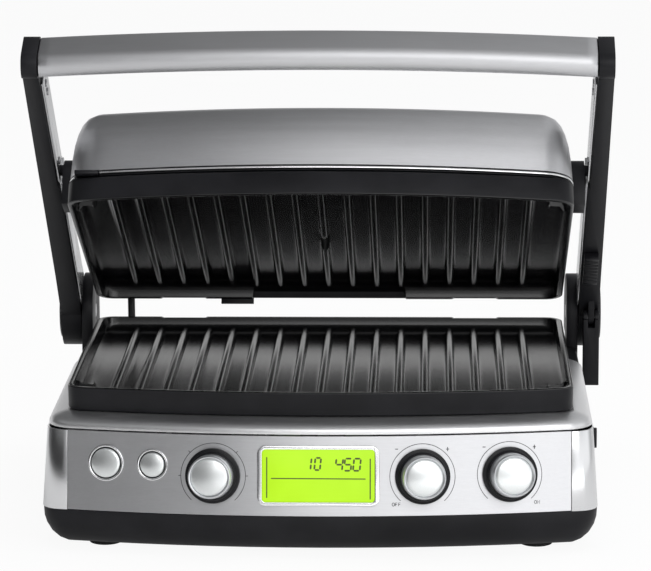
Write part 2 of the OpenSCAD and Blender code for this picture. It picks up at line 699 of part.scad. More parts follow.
// Plan of the space that an arm's shell may fill, narrowing to the handle
arm_run = arm_len * cos(arm_angle) - knuckle_r;
arm_plan = [[bore_x, hinge_y + 2 * knuckle_r], [arm_out, hinge_y + 2 * knuckle_r],
  [arm_out, hinge_y - knuckle_r], [arm_out - 2 * arm_grow, hinge_y - knuckle_r - 2 * arm_run],
  [bore_x, hinge_y - knuckle_r - 2 * arm_run]];

// Side view of an arm, in Y and Z, up to a distance from the hinge
module arm_side(in, upto) {
  difference() {
    union() {
      translate([hinge_y, hinge_z]) circle(knuckle_r - in);
      translate([hinge_y, hinge_z]) rotate(180 - arm_angle)
        polygon([[0, -16 + in], [70, -arm_w / 2 + in], [arm_len - 2, -arm_w / 2 + in],
                 [arm_len - 2, arm_w / 2 - in], [70, arm_w / 2 - in], [0, 16 - in]]);
      translate(grip) rotate(bar_lean) {
        square([2 * cap_round, 2 * (cap_round - in)], center = true);
        for (i = [-1, 1]) translate([i * cap_round, 0]) circle(cap_round - in);
      }
    }
    translate([hinge_y, hinge_z]) rotate(180 - arm_angle) translate([upto, -far / 2]) square([2 * far, far]);
  }
}
pivot = [hinge_y, hinge_z] + pivot_len * arm_dir;
boss_out = 7;
module arm_holes() {
  x_rod(hinge_pin_r + fit_run, bore_x, arm_out - 4, hinge_y, hinge_z);
  x_rod(pivot_pin_r + fit_run, bore_x, arm_x + arm_t - 3, pivot[0], pivot[1]);
}
spigot_r = 5;
module arm_shell() difference() {
  intersection() {
    union() {
      x_slab(arm_x, arm_out) arm_side(0, 2 * arm_len);
      x_slab(thick_x, arm_x + 1) arm_side(0, step_len);
    }
    linear_extrude(far) polygon(arm_plan);
  }
  arm_holes();
  x_rod(spigot_r + fit_run, arm_x - 1, arm_x + 6, grip[0], grip[1]);
}
lever_pin = [hinge_y - 34, hinge_z + 2.2];
lever_x0 = arm_x + 1.5;
lever_x1 = arm_out - gap;
lever_mid = (lever_x0 + lever_x1) / 2;
lever_pin_r = 2;
lug_half = 2.1;
lug_r = 5;
module left_arm() color([0.08, 0.08, 0.09]) mirror([1, 0, 0]) arm_shell();
module right_arm() color([0.08, 0.08, 0.09]) difference() {
  union() {
    arm_shell();
    x_slab(lever_mid - lug_half, lever_mid + lug_half) {
      translate(lever_pin) circle(lug_r);
      translate(lever_pin - [lug_r, 0]) square([2 * lug_r, 18]);
    }
  }
  x_rod(lever_pin_r + fit_run, bore_x, far, lever_pin[0], lever_pin[1]);
}
cover_in = 2.5;
sheet_t = 1.6;
// Side view of all that lies before the step in an arm's inner side
module hinge_half() translate([hinge_y, hinge_z]) rotate(180 - arm_angle)
  translate([-far / 2, -far / 2]) square([far / 2 + step_len + gap, far]);
module arm_lining() difference() {
  union() {
    x_slab(arm_x - gap / 3 - sheet_t, arm_x - gap / 3) difference() {
      arm_side(cover_in, arm_len - 16);
      hinge_half();
    }
    x_slab(thick_x - gap / 3 - sheet_t, thick_x - gap / 3) difference() {
      arm_side(cover_in, step_len + sheet_t);
      translate([hinge_y, hinge_z]) circle(tower_r + 6);
    }
    x_slab(thick_x - gap / 3 - sheet_t, arm_x - gap / 3) difference() {
      arm_side(cover_in, step_len + gap + sheet_t);
      hinge_half();
    }
  }
  x_rod(boss_out + gap, bore_x, far, pivot[0], pivot[1]);
  lining_holes();
}
lining_spots = [[arm_len - 30, 0], [arm_len - 40, 0], [pivot_len + 19, 0]];
module lining_holes() for (s = lining_spots) in_arm()
  translate([arm_x - 6, s[0], s[1]]) rotate([0, 90, 0]) cylinder(r = 1.5, h = 12);
module left_arm_cover() color([0.88, 0.88, 0.89]) mirror([1, 0, 0]) arm_lining();
module right_arm_cover() color([0.88, 0.88, 0.89]) arm_lining();
module arm_screws() color([0.45, 0.45, 0.46]) both_sides() for (s = lining_spots) in_arm()
  translate([arm_x - gap / 3 - sheet_t - 0.7, s[0], s[1]]) rotate([0, 90, 0]) {
    cylinder(r = 2.6, h = 0.7);
    cylinder(r = 1.45, h = sheet_t + 0.7);
  }
module hinge_pins() color([0.7, 0.7, 0.7]) both_sides()
  x_rod(hinge_pin_r, tower_in, arm_out - 4.3, hinge_y, hinge_z);
disc_h = 1.8;
module hinge_discs() color([0.09, 0.09, 0.1]) both_sides() translate([arm_out + 0.1, hinge_y, hinge_z])
  rotate([0, 90, 0]) {
    cylinder(r = disc_r, h = 0.9);
    cylinder(r1 = disc_r, r2 = disc_r - 1.6, h = disc_h);
  }
ear_in = plate_half + 1.7;
ear_t = 8;
module pivot_pins() color([0.7, 0.7, 0.7]) both_sides()
  x_rod(pivot_pin_r, ear_in + 1, arm_x + arm_t - 3.2, pivot[0], pivot[1]);

// Ring of the handle bar's section at a distance from the middle
function bar_ring(x, r, half) = let (lift = bar_bow * (1 - pow(x / arm_x, 2)))
  [for (i = [0:27]) let (a = 360 * i / 28, side = cos(a) > 0.001 ? 1 : cos(a) < -0.001 ? -1 : 0,
      c = side * half + r * cos(a), s = r * sin(a))
    [x, grip[0] + arm_dir[0] * lift + c * lean_dir[0] - s * lean_dir[1],
        grip[1] + arm_dir[1] * lift + c * lean_dir[1] + s * lean_dir[0]]];
bar_end = arm_x - gap;
bar_wall = 1.6;
module bar_body(in, end) skin([for (i = [0:16])
  bar_ring(end * (i / 8 - 1), bar_t / 2 - in, (bar_h - bar_t) / 2)]);
module handle_bar() color([0.72, 0.72, 0.73]) difference() {
  union() {
    bar_body(0, bar_end);
    both_sides() x_rod(spigot_r, bar_end - 3, arm_x + 5.5, grip[0], grip[1]);
  }
  bar_body(bar_wall, bar_end - 4);
  both_sides() x_rod(spigot_r - 2, bar_end - 6, arm_x + 6, grip[0], grip[1]);
}

module lever_side() difference() {
  union() {
    translate(lever_pin) circle(lug_r + 0.6);
    translate(lever_pin + [-8, -46]) square([13, 46]);
    translate(lever_pin + [-8, -48]) square([9, 12]);
  }
  translate([hinge_y, hinge_z]) circle(knuckle_r + 0.6);
}
module flat_lever() color([0.14, 0.14, 0.15]) difference() {
  x_slab(lever_x0, lever_x1) lever_side();
  block([lever_mid - lug_half - gap, lever_pin[0] - 20, lever_pin[1] - lug_r - 1],
        [lever_mid + lug_half + gap, lever_pin[0] + 20, lever_pin[1] + 20]);
  x_rod(lever_pin_r + fit_run, bore_x, far, lever_pin[0], lever_pin[1]);
}
module lever_pin_rod() color([0.7, 0.7, 0.7]) 
  x_rod(lever_pin_r, lever_x0 + 0.3, lever_x1 - 0.3, lever_pin[0], lever_pin[1]);

slider_s = 88;
slider_len = 36;
slider_w = 10;
slider_h = 5;
slider_z = arm_w / 2 + 0.4;
module height_slider() color([0.1, 0.1, 0.11]) in_arm() difference() {
  block([arm_x - 0.5, slider_s - slider_len / 2, slider_z],
        [arm_x + slider_w - 0.5, slider_s + slider_len / 2, slider_z + slider_h]);
  for (i = [-3:3]) translate([arm_x - 2, slider_s + i * 4.4, slider_z + slider_h]) rotate([0, 90, 0])
    cylinder(r = 1.3, h = slider_w + 3, $fn = 24);
}

// ---- Lid ----
// Lid space: as the plate's, but the rim faces down and the lid rises along +z
lid_y = plate_rear + lid_rear_y - plate_d * cos(lid_tilt);
lid_z = rim_z + lid_rear_z + plate_d * sin(lid_tilt);
module in_lid() translate([0, lid_y, lid_z]) rotate([-lid_tilt, 0, 0]) children();
function to_lid(p) = let (d = p - [lid_y, lid_z])
  [d[0] * cos(lid_tilt) - d[1] * sin(lid_tilt), d[0] * sin(lid_tilt) + d[1] * cos(lid_tilt)];
frame_z = plate_h + 1.2;
trim_z = frame_z + 0.2;
trim_t = 1.5;
cover_foot = trim_z + trim_t + 1.4;
frame_inner = 30;
cover_half = plate_half - cover_step;
cover_front = -sag(cover_half) + plate_half - cover_half;
cover_rear = plate_d - plate_half + cover_half + 1;

function lid_plan(in) = inner(cover_half, cover_front, cover_rear, cover_corner_r, cover_corner_r, in);
// Share of the cover's height and inset of its domed side
cover_sides = [[0, 0], [0.3, 1], [0.52, 2.4], [0.69, 4.4], [0.825, 7], [0.91, 10], [0.97, 14.5], [1, 21]];
module cover_solid(in, drop) skin([for (s = cover_sides)
  level(lid_plan(s[1] + in), cover_foot + s[0] * (cover_h - drop))]);

module lid_cover() color([0.7, 0.7, 0.71]) in_lid() difference() {
  cover_solid(0, 0);
  translate([0, 0, -tiny]) cover_solid(cover_t, cover_t);
}

ear_spot = to_lid(pivot);
ear_neck = [ear_spot[0] - 15, ear_spot[0] + 5];
// Stop behind the upper plate's rear wall: place along X, and how far it passes the rim
stop_x = [-78, -notch_half];
stop_drop = 2.7;
stop_t = 3;
module lid_frame() color([0.08, 0.08, 0.09]) in_lid() {
  block([stop_x[0], plate_d + 0.4, -stop_drop], [stop_x[1], plate_d + 0.4 + stop_t, frame_z + tiny]);
  block([stop_x[0], plate_d - 8, plate_h + gap], [stop_x[1], plate_d + 0.4 + stop_t, frame_z + tiny]);
  difference() {
    translate([0, 0, frame_z]) linear_extrude(3) polygon(lid_plan(cover_t + 1));
    translate([0, 0, frame_z - 1]) linear_extrude(5) plate_outline(frame_inner);
    block([release_x - 8.6, -40, 0], [release_x + 8.6, release_in + 3, 40]);
  }
  translate([0, 0, frame_z + 3 - tiny]) linear_extrude(14) difference() {
    polygon(lid_plan(cover_t + 3));
    polygon(lid_plan(cover_t + 5.2));
    translate([release_x - 10, -40]) square([20, 80]);
  }
}
module lid_ears() color([0.08, 0.08, 0.09]) both_sides() difference() {
  union() {
    x_slab(ear_in - 1.4, ear_in + ear_t) {
      translate(pivot) circle(boss_out + 3);
      translate([lid_y, lid_z]) rotate(-lid_tilt) translate([ear_neck[0], frame_z + 0.3])
        square([ear_neck[1] - ear_neck[0], ear_spot[1] - frame_z]);
    }
    in_lid() block([cover_half - cover_t - 1, ear_neck[0] + 1, frame_z + 0.4],
                   [ear_in, ear_neck[1] - 1, frame_z + 2.8]);
    x_rod(boss_out, ear_in, thick_x - gap, pivot[0], pivot[1]);
  }
  x_rod(pivot_pin_r + fit_run, ear_in + 0.8, far, pivot[0], pivot[1]);
}
module lid_trim() color([0.6, 0.6, 0.61]) in_lid() translate([0, 0, trim_z + 0.3])
  linear_extrude(trim_t) difference() {
    polygon(lid_plan(-0.6));
    polygon(lid_plan(cover_t + 0.7));
    both_sides() translate([cover_half - 4, ear_neck[0] - gap])
      square([20, ear_neck[1] - ear_neck[0] + 2 * gap]);
    translate([release_x - 8.4, -40]) square([16.8, 80]);
  }
release_x = -cover_half + 13;
release_in = 4;
module upper_release() color([0.06, 0.06, 0.06]) in_lid()
  block([release_x - 8, -5.4, frame_z + 0.2], [release_x + 8, release_in, cover_foot - 0.3]);

module upper_reflector() color([0.8, 0.8, 0.8]) in_lid() translate([0, 0, frame_z - gap - 0.1]) difference() {
  union() {
    linear_extrude(reflector_depth) difference() {
      plate_outline(frame_inner + gap);
      plate_outline(frame_inner + gap + 1);
    }
    translate([0, 0, reflector_depth - 1]) linear_extrude(1) plate_outline(frame_inner + gap);
    translate([0, 0, 3 + 2 * gap + 0.2]) linear_extrude(1) difference() {
      plate_outline(frame_inner - 6);
      plate_outline(frame_inner + gap + 0.5);
    }
  }
  translate([0, probe_y, 0]) cylinder(r = probe_r + 1, h = 60);
}
module upper_element() color([0.35, 0.33, 0.32]) in_lid() translate([0, 0, plate_h + gap + tube_r])
  heating_tube();
module upper_thermostat() color([0.62, 0.6, 0.55]) in_lid()
  translate([0, probe_y, plate_h + gap + 18]) mirror([0, 0, 1]) thermostat(18);

module upper_plate() color([0.09, 0.09, 0.1]) in_lid() difference() {
  mirror([0, 0, 1]) cooking_plate();
  block([-notch_half, plate_d - 2 * plate_wall, -1], [notch_half, plate_d + 1, notch_h]);
}

// ---- Wire conduit between base and lid ----
conduit_x = -145;
conduit_r = 2.8;
conduit_path = [[hinge_y - 2, deck_z + gap], [hinge_y - 1, rim_z - 8], [hinge_y - 1, rim_z + 4],
  [hinge_y - 2.6, rim_z + 14], [hinge_y - 6.2, rim_z + 23], [hinge_y - 11, rim_z + 30]];
module wire_conduit() color([0.3, 0.3, 0.31]) {
  p = conduit_path;
  skin([for (k = [0:len(p) - 1])
    let (d = p[min(k + 1, len(p) - 1)] - p[max(k - 1, 0)], u = d / norm(d))
    [for (i = [0:9]) let (a = 36 * i)
      [conduit_x + conduit_r * sin(a), p[k][0] - u[1] * conduit_r * cos(a),
       p[k][1] + u[0] * conduit_r * cos(a)]]]);
}

lower_tub();
feet();
case_screws();
side_wraps();
rear_housing();
chassis_pan();
control_panel();
steel_ledge();
lower_plate();
lower_reflector();
lower_element();
lower_thermostat();
display_bezel();
display_lens();
display_module();
button_rings();
start_button();
sear_button();
knob_collars();
select_knob();
temp_knob();
time_knob();
select_cap();
temp_cap();
time_cap();
select_shaft();
temp_shaft();
time_shaft();
encoder_bodies();
button_switches();
control_board();
power_board();
power_parts();
cord_gland();
tray_rails();
drip_tray();
lower_release();
hinge_towers();
hinge_pins();
left_arm();
right_arm();
left_arm_cover();
right_arm_cover();
arm_screws();
hinge_discs();
pivot_pins();
handle_bar();
flat_lever();
lever_pin_rod();  // lever_pin
height_slider();
lid_frame();
lid_ears();
lid_trim();
lid_cover();
upper_reflector();
upper_element();
upper_thermostat();
upper_release();
upper_plate();
wire_conduit();
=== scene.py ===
import math

import bmesh
import bpy
from mathutils import Matrix, Vector


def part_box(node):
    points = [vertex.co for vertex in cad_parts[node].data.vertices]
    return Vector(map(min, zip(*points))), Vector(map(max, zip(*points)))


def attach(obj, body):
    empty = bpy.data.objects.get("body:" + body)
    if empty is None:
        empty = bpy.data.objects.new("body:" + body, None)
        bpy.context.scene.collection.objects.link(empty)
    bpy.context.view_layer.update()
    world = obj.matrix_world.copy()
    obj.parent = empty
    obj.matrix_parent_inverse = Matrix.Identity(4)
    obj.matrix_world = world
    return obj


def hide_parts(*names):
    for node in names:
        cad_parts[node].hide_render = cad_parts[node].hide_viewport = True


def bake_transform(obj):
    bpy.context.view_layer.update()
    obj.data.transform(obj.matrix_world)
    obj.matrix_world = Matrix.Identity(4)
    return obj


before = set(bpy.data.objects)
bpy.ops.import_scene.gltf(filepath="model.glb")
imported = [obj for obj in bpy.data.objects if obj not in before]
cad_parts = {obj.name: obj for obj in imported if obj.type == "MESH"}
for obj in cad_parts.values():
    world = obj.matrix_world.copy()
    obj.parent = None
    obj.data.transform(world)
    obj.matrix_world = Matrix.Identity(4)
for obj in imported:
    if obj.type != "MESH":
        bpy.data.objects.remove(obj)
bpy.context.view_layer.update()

bl_info = {
    "name": "Contact grill",
    "version": (1, 0, 0),
    "blender": (4, 2, 0),
    "location": "3D View > Sidebar > Grill",
    "description": "Dresses an electric contact grill with its lid raised",
    "category": "Add Mesh",
}

MM = 0.001

# Places of the grill in millimetres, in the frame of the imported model
PLATE_HALF, PLATE_D, PLATE_H = 167.5, 230.0, 16.0
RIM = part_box("lower_plate")[1].z / MM
PLATE_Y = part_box("lower_plate")[1].y / MM - PLATE_D
FRONT, PANEL_FOOT, PANEL_TOP = -148.5, 29.3, RIM - 25.0
PANEL_LEAN = math.atan(10.0 / (PANEL_TOP - PANEL_FOOT))
BOW = 825.0
HINGE = Vector((0.0, PLATE_Y + 247.0, RIM + 1.0))
ARM_LENGTH, ARM_ANGLE = 331.5, math.radians(41.2)
ARM_DIR = Vector((0.0, -math.cos(ARM_ANGLE), math.sin(ARM_ANGLE)))
GRIP = HINGE + ARM_LENGTH * ARM_DIR
LID_TILT = math.radians(27.7)
# The upper plate's rear edge, from the lower plate's front edge and rim
LID_HEEL_Y, LID_HEEL_Z = 224.0, 14.0
LID_ORIGIN = Vector((
    0.0,
    PLATE_Y + LID_HEEL_Y - PLATE_D * math.cos(LID_TILT),
    RIM + LID_HEEL_Z + PLATE_D * math.sin(LID_TILT),
))
IN_LID = Matrix.Translation(LID_ORIGIN * MM) @ Matrix.Rotation(-LID_TILT, 4, "X")


# ---- Outlines and lofts ----

# Welding distance in metres, and the angles in degrees under which faces are one flat and
# over which an edge is rounded
WELD, FLAT_ANGLE, SHARP_ANGLE = 2e-6, 0.6, 28.0


def arc(x, y, r, a, b, n):
    """Points of an arc in degrees, without its first point."""
    turns = [math.radians(a + (b - a) * i / n) for i in range(1, n + 1)]
    return [(x + r * math.cos(t), y + r * math.sin(t)) for t in turns]


def sag(half):
    """How far the bowed front falls back at a half width."""
    return BOW - math.sqrt(BOW * BOW - half * half)


def plan(half, front, rear, rf, rb, inset=0.0, bow=BOW):
    """Rounded outline with a bowed front, drawn in by inset."""
    half, front, rear, bow = half - inset, front + inset, rear - inset, bow - inset
    rf, rb = max(rf - inset, 1.2), max(rb - inset, 1.2)
    by, cx = front + bow, half - rf
    cy = by - math.sqrt((bow - rf) ** 2 - cx * cx)
    t = math.degrees(math.atan2(cy - by, cx))
    return (
        arc(0, by, bow, -180 - t, t, 40) + arc(cx, cy, rf, t, 0, 16)
        + [(half, cy + (rear - rb - cy) * k / 12) for k in range(1, 12)]
        + [(half, rear - rb)] + arc(half - rb, rear - rb, rb, 0, 90, 12)
        + [(half - rb - 2 * (half - rb) * k / 16, rear) for k in range(1, 16)]
        + [(-half + rb, rear)] + arc(rb - half, rear - rb, rb, 90, 180, 12)
        + [(-half, rear - rb - (rear - rb - cy) * k / 12) for k in range(1, 12)]
        + [(-half, cy)] + arc(-cx, cy, rf, 180, 180 - t, 16)
    )


def level(points, z):
    return [(x, y, z) for x, y in points]


def add_piece(name, mesh):
    piece = bpy.data.objects.new(name, mesh)
    bpy.context.scene.collection.objects.link(piece)
    return piece


def new_mesh(name, points, faces):
    """A piece from points in millimetres."""
    mesh = bpy.data.meshes.new(name)
    mesh.from_pydata([tuple(c * MM for c in p) for p in points], [], faces)
    mesh.update()
    return add_piece(name, mesh)


def soften(piece, angle=32.0):
    """Smooth shading that keeps the edges sharper than the angle."""
    form = bmesh.new()
    form.from_mesh(piece.data)
    bmesh.ops.recalc_face_normals(form, faces=form.faces)
    limit = math.radians(angle)
    for face in form.faces:
        face.smooth = True
    for edge in form.edges:
        edge.smooth = not (edge.is_manifold and edge.calc_face_angle() > limit)
    form.to_mesh(piece.data)
    form.free()
    return piece


def loft(name, rings, cap_first=True):
    """Skin through closed rings of points that all hold the same count."""
    n = len(rings[0])
    points = [p for ring in rings for p in ring]
    faces = [
        (j * n + i, j * n + (i + 1) % n, (j + 1) * n + (i + 1) % n, (j + 1) * n + i)
        for j in range(len(rings) - 1) for i in range(n)
    ]
    if cap_first:
        faces.append(tuple(reversed(range(n))))
    faces.append(tuple(range((len(rings) - 1) * n, len(rings) * n)))
    return new_mesh(name, points, faces)


def brush_along_x(piece):
    """Sets the mesh's texture space so that the brushing runs straight along X."""
    piece.data.use_auto_texspace = False
    piece.data.texspace_location = (0.0, 100.0, 0.0)
    piece.data.texspace_size = (10.0, 1.0, 1.0)
    return piece


def place(piece, matrix):
    piece.data.transform(matrix)
    return piece


def dress(piece, body, look, *nodes):
    """Gives a new piece its finish and its body, and hides the nodes it stands for."""
    piece.data.materials.clear()
    piece.data.materials.append(finish(look))
    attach(piece, body)
    if nodes:
        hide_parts(*nodes)
    return piece


def rounded_copy(node, width, segments=2):
    """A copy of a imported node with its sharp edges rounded."""
    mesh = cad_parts[node].data.copy()
    mesh.name = node + "_rounded"
    mesh.materials.clear()
    form = bmesh.new()
    form.from_mesh(mesh)
    bmesh.ops.remove_doubles(form, verts=form.verts, dist=WELD)
    bmesh.ops.dissolve_limit(
        form, angle_limit=math.radians(FLAT_ANGLE), verts=form.verts, edges=form.edges
    )
    limit = math.radians(SHARP_ANGLE)
    sharp = [e for e in form.edges if e.is_manifold and e.calc_face_angle() > limit]
    bmesh.ops.bevel(
        form, geom=sharp, offset=width * MM, offset_type="OFFSET",
        segments=segments, profile=0.5, affect="EDGES", clamp_overlap=True,
    )
    form.to_mesh(mesh)
    form.free()
    return soften(add_piece(node + "_rounded", mesh), 40.0)


def carry_over(body, rows, segments=2):
    """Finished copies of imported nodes, from rows of (node, rounding, finish)."""
    for node, width, look in rows:
        dress(rounded_copy(node, width, segments), body, look, node)


def lathe(name, profile, turns):
    """Solid of revolution about Z from (radius, height) pairs, closed at the axis."""
    rings = [
        [(r * math.cos(2 * math.pi * i / turns), r * math.sin(2 * math.pi * i / turns), z)
         for i in range(turns)]
        for r, z in profile
    ]
    return loft(name, rings)


def joined(name, pieces):
    """One mesh from several, with their faces as they are."""
    form = bmesh.new()
    for piece in pieces:
        mesh = piece.data
        form.from_mesh(mesh)
        bpy.data.objects.remove(piece)
        bpy.data.meshes.remove(mesh)
    mesh = bpy.data.meshes.new(name)
    form.to_mesh(mesh)
    form.free()
    return add_piece(name, mesh)


# ---- Materials ----

class Value:
    """A number or colour of a material, with its maths written as Python."""

    def __init__(self, paint, socket):
        self.paint = paint
        self.socket = socket

    def _do(self, operation, *parts):
        made = self.paint.node(
            "ShaderNodeMath", {"operation": operation}, dict(enumerate(parts)))
        return Value(self.paint, made.outputs[0])

    def __add__(self, other):
        return self._do("ADD", self, other)

    def __radd__(self, other):
        return self._do("ADD", other, self)

    def __sub__(self, other):
        return self._do("SUBTRACT", self, other)

    def __rsub__(self, other):
        return self._do("SUBTRACT", other, self)

    def __mul__(self, other):
        return self._do("MULTIPLY", self, other)

    def __rmul__(self, other):
        return self._do("MULTIPLY", other, self)

    def sine(self):
        return self._do("SINE", self)

    def root(self):
        return self._do("SQRT", self)


class Wiring:
    """A node tree of a material or of the studio's surroundings."""

    def __init__(self, owner):
        owner.use_nodes = True
        self.tree = owner.node_tree
        self.tree.nodes.clear()
        self._position = None

    def node(self, kind, settings=None, inputs=None):
        made = self.tree.nodes.new(kind)
        for key, setting in (settings or {}).items():
            if key == "stops":
                ramp = made.color_ramp
                while len(ramp.elements) > 1:
                    ramp.elements.remove(ramp.elements[-1])
                for number, (at, colour) in enumerate(setting):
                    stop = ramp.elements[0] if number == 0 else ramp.elements.new(at)
                    stop.position = at
                    stop.color = (*colour, 1.0)
            else:
                setattr(made, key, setting)
        for key, value in (inputs or {}).items():
            if isinstance(value, Value):
                self.tree.links.new(value.socket, made.inputs[key])
            else:
                made.inputs[key].default_value = value
        return made

    def value(self, made, output=0):
        return Value(self, made.outputs[output])

    @property
    def position(self):
        """Where the point lies in the grill's frame at rest, in metres."""
        if self._position is None:
            made = self.node("ShaderNodeTexCoord")
            self._position = self.value(made, "Object")
        return self._position

    def axis(self, name):
        made = self.node("ShaderNodeSeparateXYZ", inputs={0: self.position})
        return self.value(made, name)

    def noise(self, scale, detail=3.0, roughness=0.5, stretch=(1.0, 1.0, 1.0), seed=0.0):
        place = self.node(
            "ShaderNodeVectorMath", {"operation": "MULTIPLY"}, {0: self.position, 1: stretch})
        made = self.node(
            "ShaderNodeTexNoise", {"noise_dimensions": "4D"},
            {"Vector": self.value(place), "W": seed, "Scale": scale,
             "Detail": detail, "Roughness": roughness},
        )
        return self.value(made)

    def cells(self, scale, feature="F1"):
        made = self.node(
            "ShaderNodeTexVoronoi", {"feature": feature},
            {"Vector": self.position, "Scale": scale},
        )
        return self.value(made)

    def ramp(self, value, stops):
        made = self.node("ShaderNodeValToRGB", {"stops": stops}, {0: value})
        return self.value(made)

    def fade(self, value, low, high, out_low=0.0, out_high=1.0):
        made = self.node(
            "ShaderNodeMapRange", {"interpolation_type": "SMOOTHSTEP"},
            {0: value, 1: low, 2: high, 3: out_low, 4: out_high},
        )
        return self.value(made)

    def blend(self, share, first, second):
        """Mixes two colours, each a Value or three numbers."""
        first, second = (
            part if isinstance(part, Value) else (*part, 1.0) for part in (first, second))
        made = self.node(
            "ShaderNodeMix", {"data_type": "RGBA"}, {0: share, 6: first, 7: second})
        return self.value(made, 2)

    def bump(self, height, strength, depth):
        return self.value(self.node("ShaderNodeBump", inputs={
            "Height": height, "Strength": strength, "Distance": depth}))

    def rays(self, *names):
        """1 for the kinds of ray that are named."""
        made = self.node("ShaderNodeLightPath")
        return [self.value(made, name) for name in names]


class Paint(Wiring):
    """One material with a Principled shader and the nodes that feed it."""

    def __init__(self, name):
        self.material = bpy.data.materials.new(name)
        super().__init__(self.material)
        self.shader = self.node("ShaderNodeBsdfPrincipled")
        self.end = self.node("ShaderNodeOutputMaterial", inputs={
            "Surface": Value(self, self.shader.outputs[0])})

    def feed(self, **parts):
        """Sets the shader's sockets: Base_Color=..., Roughness=..., and so on."""
        for key, part in parts.items():
            socket = self.shader.inputs[key.replace("_", " ")]
            if isinstance(part, Value):
                self.tree.links.new(part.socket, socket)
            else:
                socket.default_value = part
        return self.material


def tint(colour, share, lift=0.0):
    """A colour made darker or lighter, or a grain made coarser."""
    return tuple(part * share + lift for part in colour)


def brushed_steel(name, colour, rough, grain):
    """Satin steel with fine brushing along the axis that grain stretches least."""
    p = Paint(name)
    lines = p.noise(1.0, 4.0, 0.7, grain)
    wide = p.noise(1.0, 2.0, 0.5, tint(grain, 0.3), 3.0)
    hands = p.noise(14.0, 3.0, 0.6, seed=7.0)
    both = lines * 0.7 + wide * 0.3
    roughness = p.fade(both, 0.25, 0.75, rough - 0.03, rough + 0.04) + p.fade(
        hands, 0.35, 0.75, 0.0, 0.03)
    return p.feed(
        Base_Color=p.blend(p.fade(both, 0.3, 0.7), tint(colour, 0.93), colour),
        Metallic=1.0, Roughness=roughness, Anisotropic=0.7, Anisotropic_Rotation=0.25,
        Normal=p.bump(both, 0.3, 0.000006),
    )


def polished_steel(name, colour, rough=0.16):
    """Bright drawn sheet with a faint haze and fine wiping marks."""
    p = Paint(name)
    haze = p.noise(22.0, 3.0, 0.55)
    wiping = p.noise(1.0, 3.0, 0.6, (60.0, 700.0, 700.0), 2.0)
    return p.feed(
        Base_Color=p.blend(p.fade(haze, 0.35, 0.7), tint(colour, 0.95), colour), Metallic=1.0,
        Roughness=p.fade(haze, 0.3, 0.75, rough - 0.03, rough + 0.04) + wiping * 0.03,
        Normal=p.bump(wiping, 0.1, 0.000005),
    )


def black_plastic(name, colour, rough=0.42, grain=900.0):
    """Moulded black plastic with a fine leather-like grain."""
    p = Paint(name)
    soft = p.noise(30.0, 3.0, 0.5)
    fine = p.noise(2600.0, 2.0, 0.5, seed=4.0)
    return p.feed(
        Base_Color=p.blend(p.fade(soft, 0.35, 0.7), colour, tint(colour, 1.5, 0.002)),
        Roughness=p.fade(soft, 0.3, 0.7, rough - 0.04, rough + 0.05) + fine * 0.03,
        Normal=p.bump(p.cells(grain) * 0.7 + fine * 0.3, 0.22, 0.00006),
        Specular_IOR_Level=0.2,
    )


def plate_coating(name):
    """Satin black non-stick coating over cast metal, with a faint sparkle."""
    p = Paint(name)
    cast = p.noise(900.0, 2.0, 0.5)
    sparkle = p.fade(p.cells(2400.0), 0.0, 0.16, 1.0, 0.0)
    film = p.noise(16.0, 4.0, 0.6, seed=2.0)
    return p.feed(
        Base_Color=p.blend(sparkle * 0.3, (0.0025, 0.0025, 0.003), (0.03, 0.03, 0.034)),
        Roughness=p.fade(film, 0.3, 0.72, 0.22, 0.25) + cast * 0.02,
        Normal=p.bump(cast, 0.03, 0.00001), Specular_IOR_Level=0.45,
        Coat_Weight=0.2, Coat_Roughness=0.18,
    )


def pearl_silver(name):
    """Pale silver lacquer with a fine metal flake."""
    p = Paint(name)
    flake = p.cells(3800.0)
    drift = p.noise(60.0, 2.0, 0.5)
    return p.feed(
        Base_Color=p.blend(p.fade(flake, 0.0, 0.6), (0.68, 0.7, 0.7), (0.8, 0.82, 0.82)),
        Metallic=0.85, Roughness=p.fade(drift, 0.3, 0.7, 0.28, 0.32),
        Normal=p.bump(flake, 0.02, 0.00001), Coat_Weight=0.3, Coat_Roughness=0.2,
    )


def mottled(name, noise, colours, spread, rough, bump, metallic=0.0):
    """A fine mottle, for the rubber, the screws, the mouldings and the print."""
    p = Paint(name)
    mottle = p.noise(*noise)
    return p.feed(
        Base_Color=p.blend(p.fade(mottle, *spread), *colours), Metallic=metallic,
        Roughness=p.fade(mottle, *rough), Normal=p.bump(mottle, *bump),
    )


def ink(name, colour, rough=0.5):
    """Display segments and panel print."""
    return mottled(name, (1500.0, 2.0, 0.5), (colour, tint(colour, 1.6)), (0.35, 0.7),
                   (0.3, 0.7, rough, rough + 0.12), (0.05, 0.00001))


def sheet_metal(name, colour, rough=0.4):
    """Plated sheet with a faint spangle."""
    p = Paint(name)
    spangle = p.cells(90.0)
    fine = p.noise(700.0, 3.0, 0.6)
    return p.feed(
        Base_Color=p.blend(p.fade(spangle, 0.1, 0.7), tint(colour, 0.84), colour),
        Metallic=1.0,
        Roughness=p.fade(spangle, 0.1, 0.8, rough - 0.06, rough + 0.08) + fine * 0.04,
        Normal=p.bump(fine, 0.1, 0.00003),
    )


def heated_tube(name):
    """Steel tube with straw and blue heat tints."""
    p = Paint(name)
    drift = p.noise(26.0, 3.0, 0.6)
    heat = p.ramp(drift, [
        (0.3, (0.16, 0.13, 0.11)), (0.48, (0.28, 0.2, 0.12)),
        (0.6, (0.17, 0.14, 0.18)), (0.75, (0.2, 0.19, 0.19)),
    ])
    return p.feed(
        Base_Color=heat, Metallic=1.0, Roughness=p.fade(drift, 0.3, 0.7, 0.36, 0.5),
        Normal=p.bump(p.noise(900.0, 2.0), 0.15, 0.00005),
    )


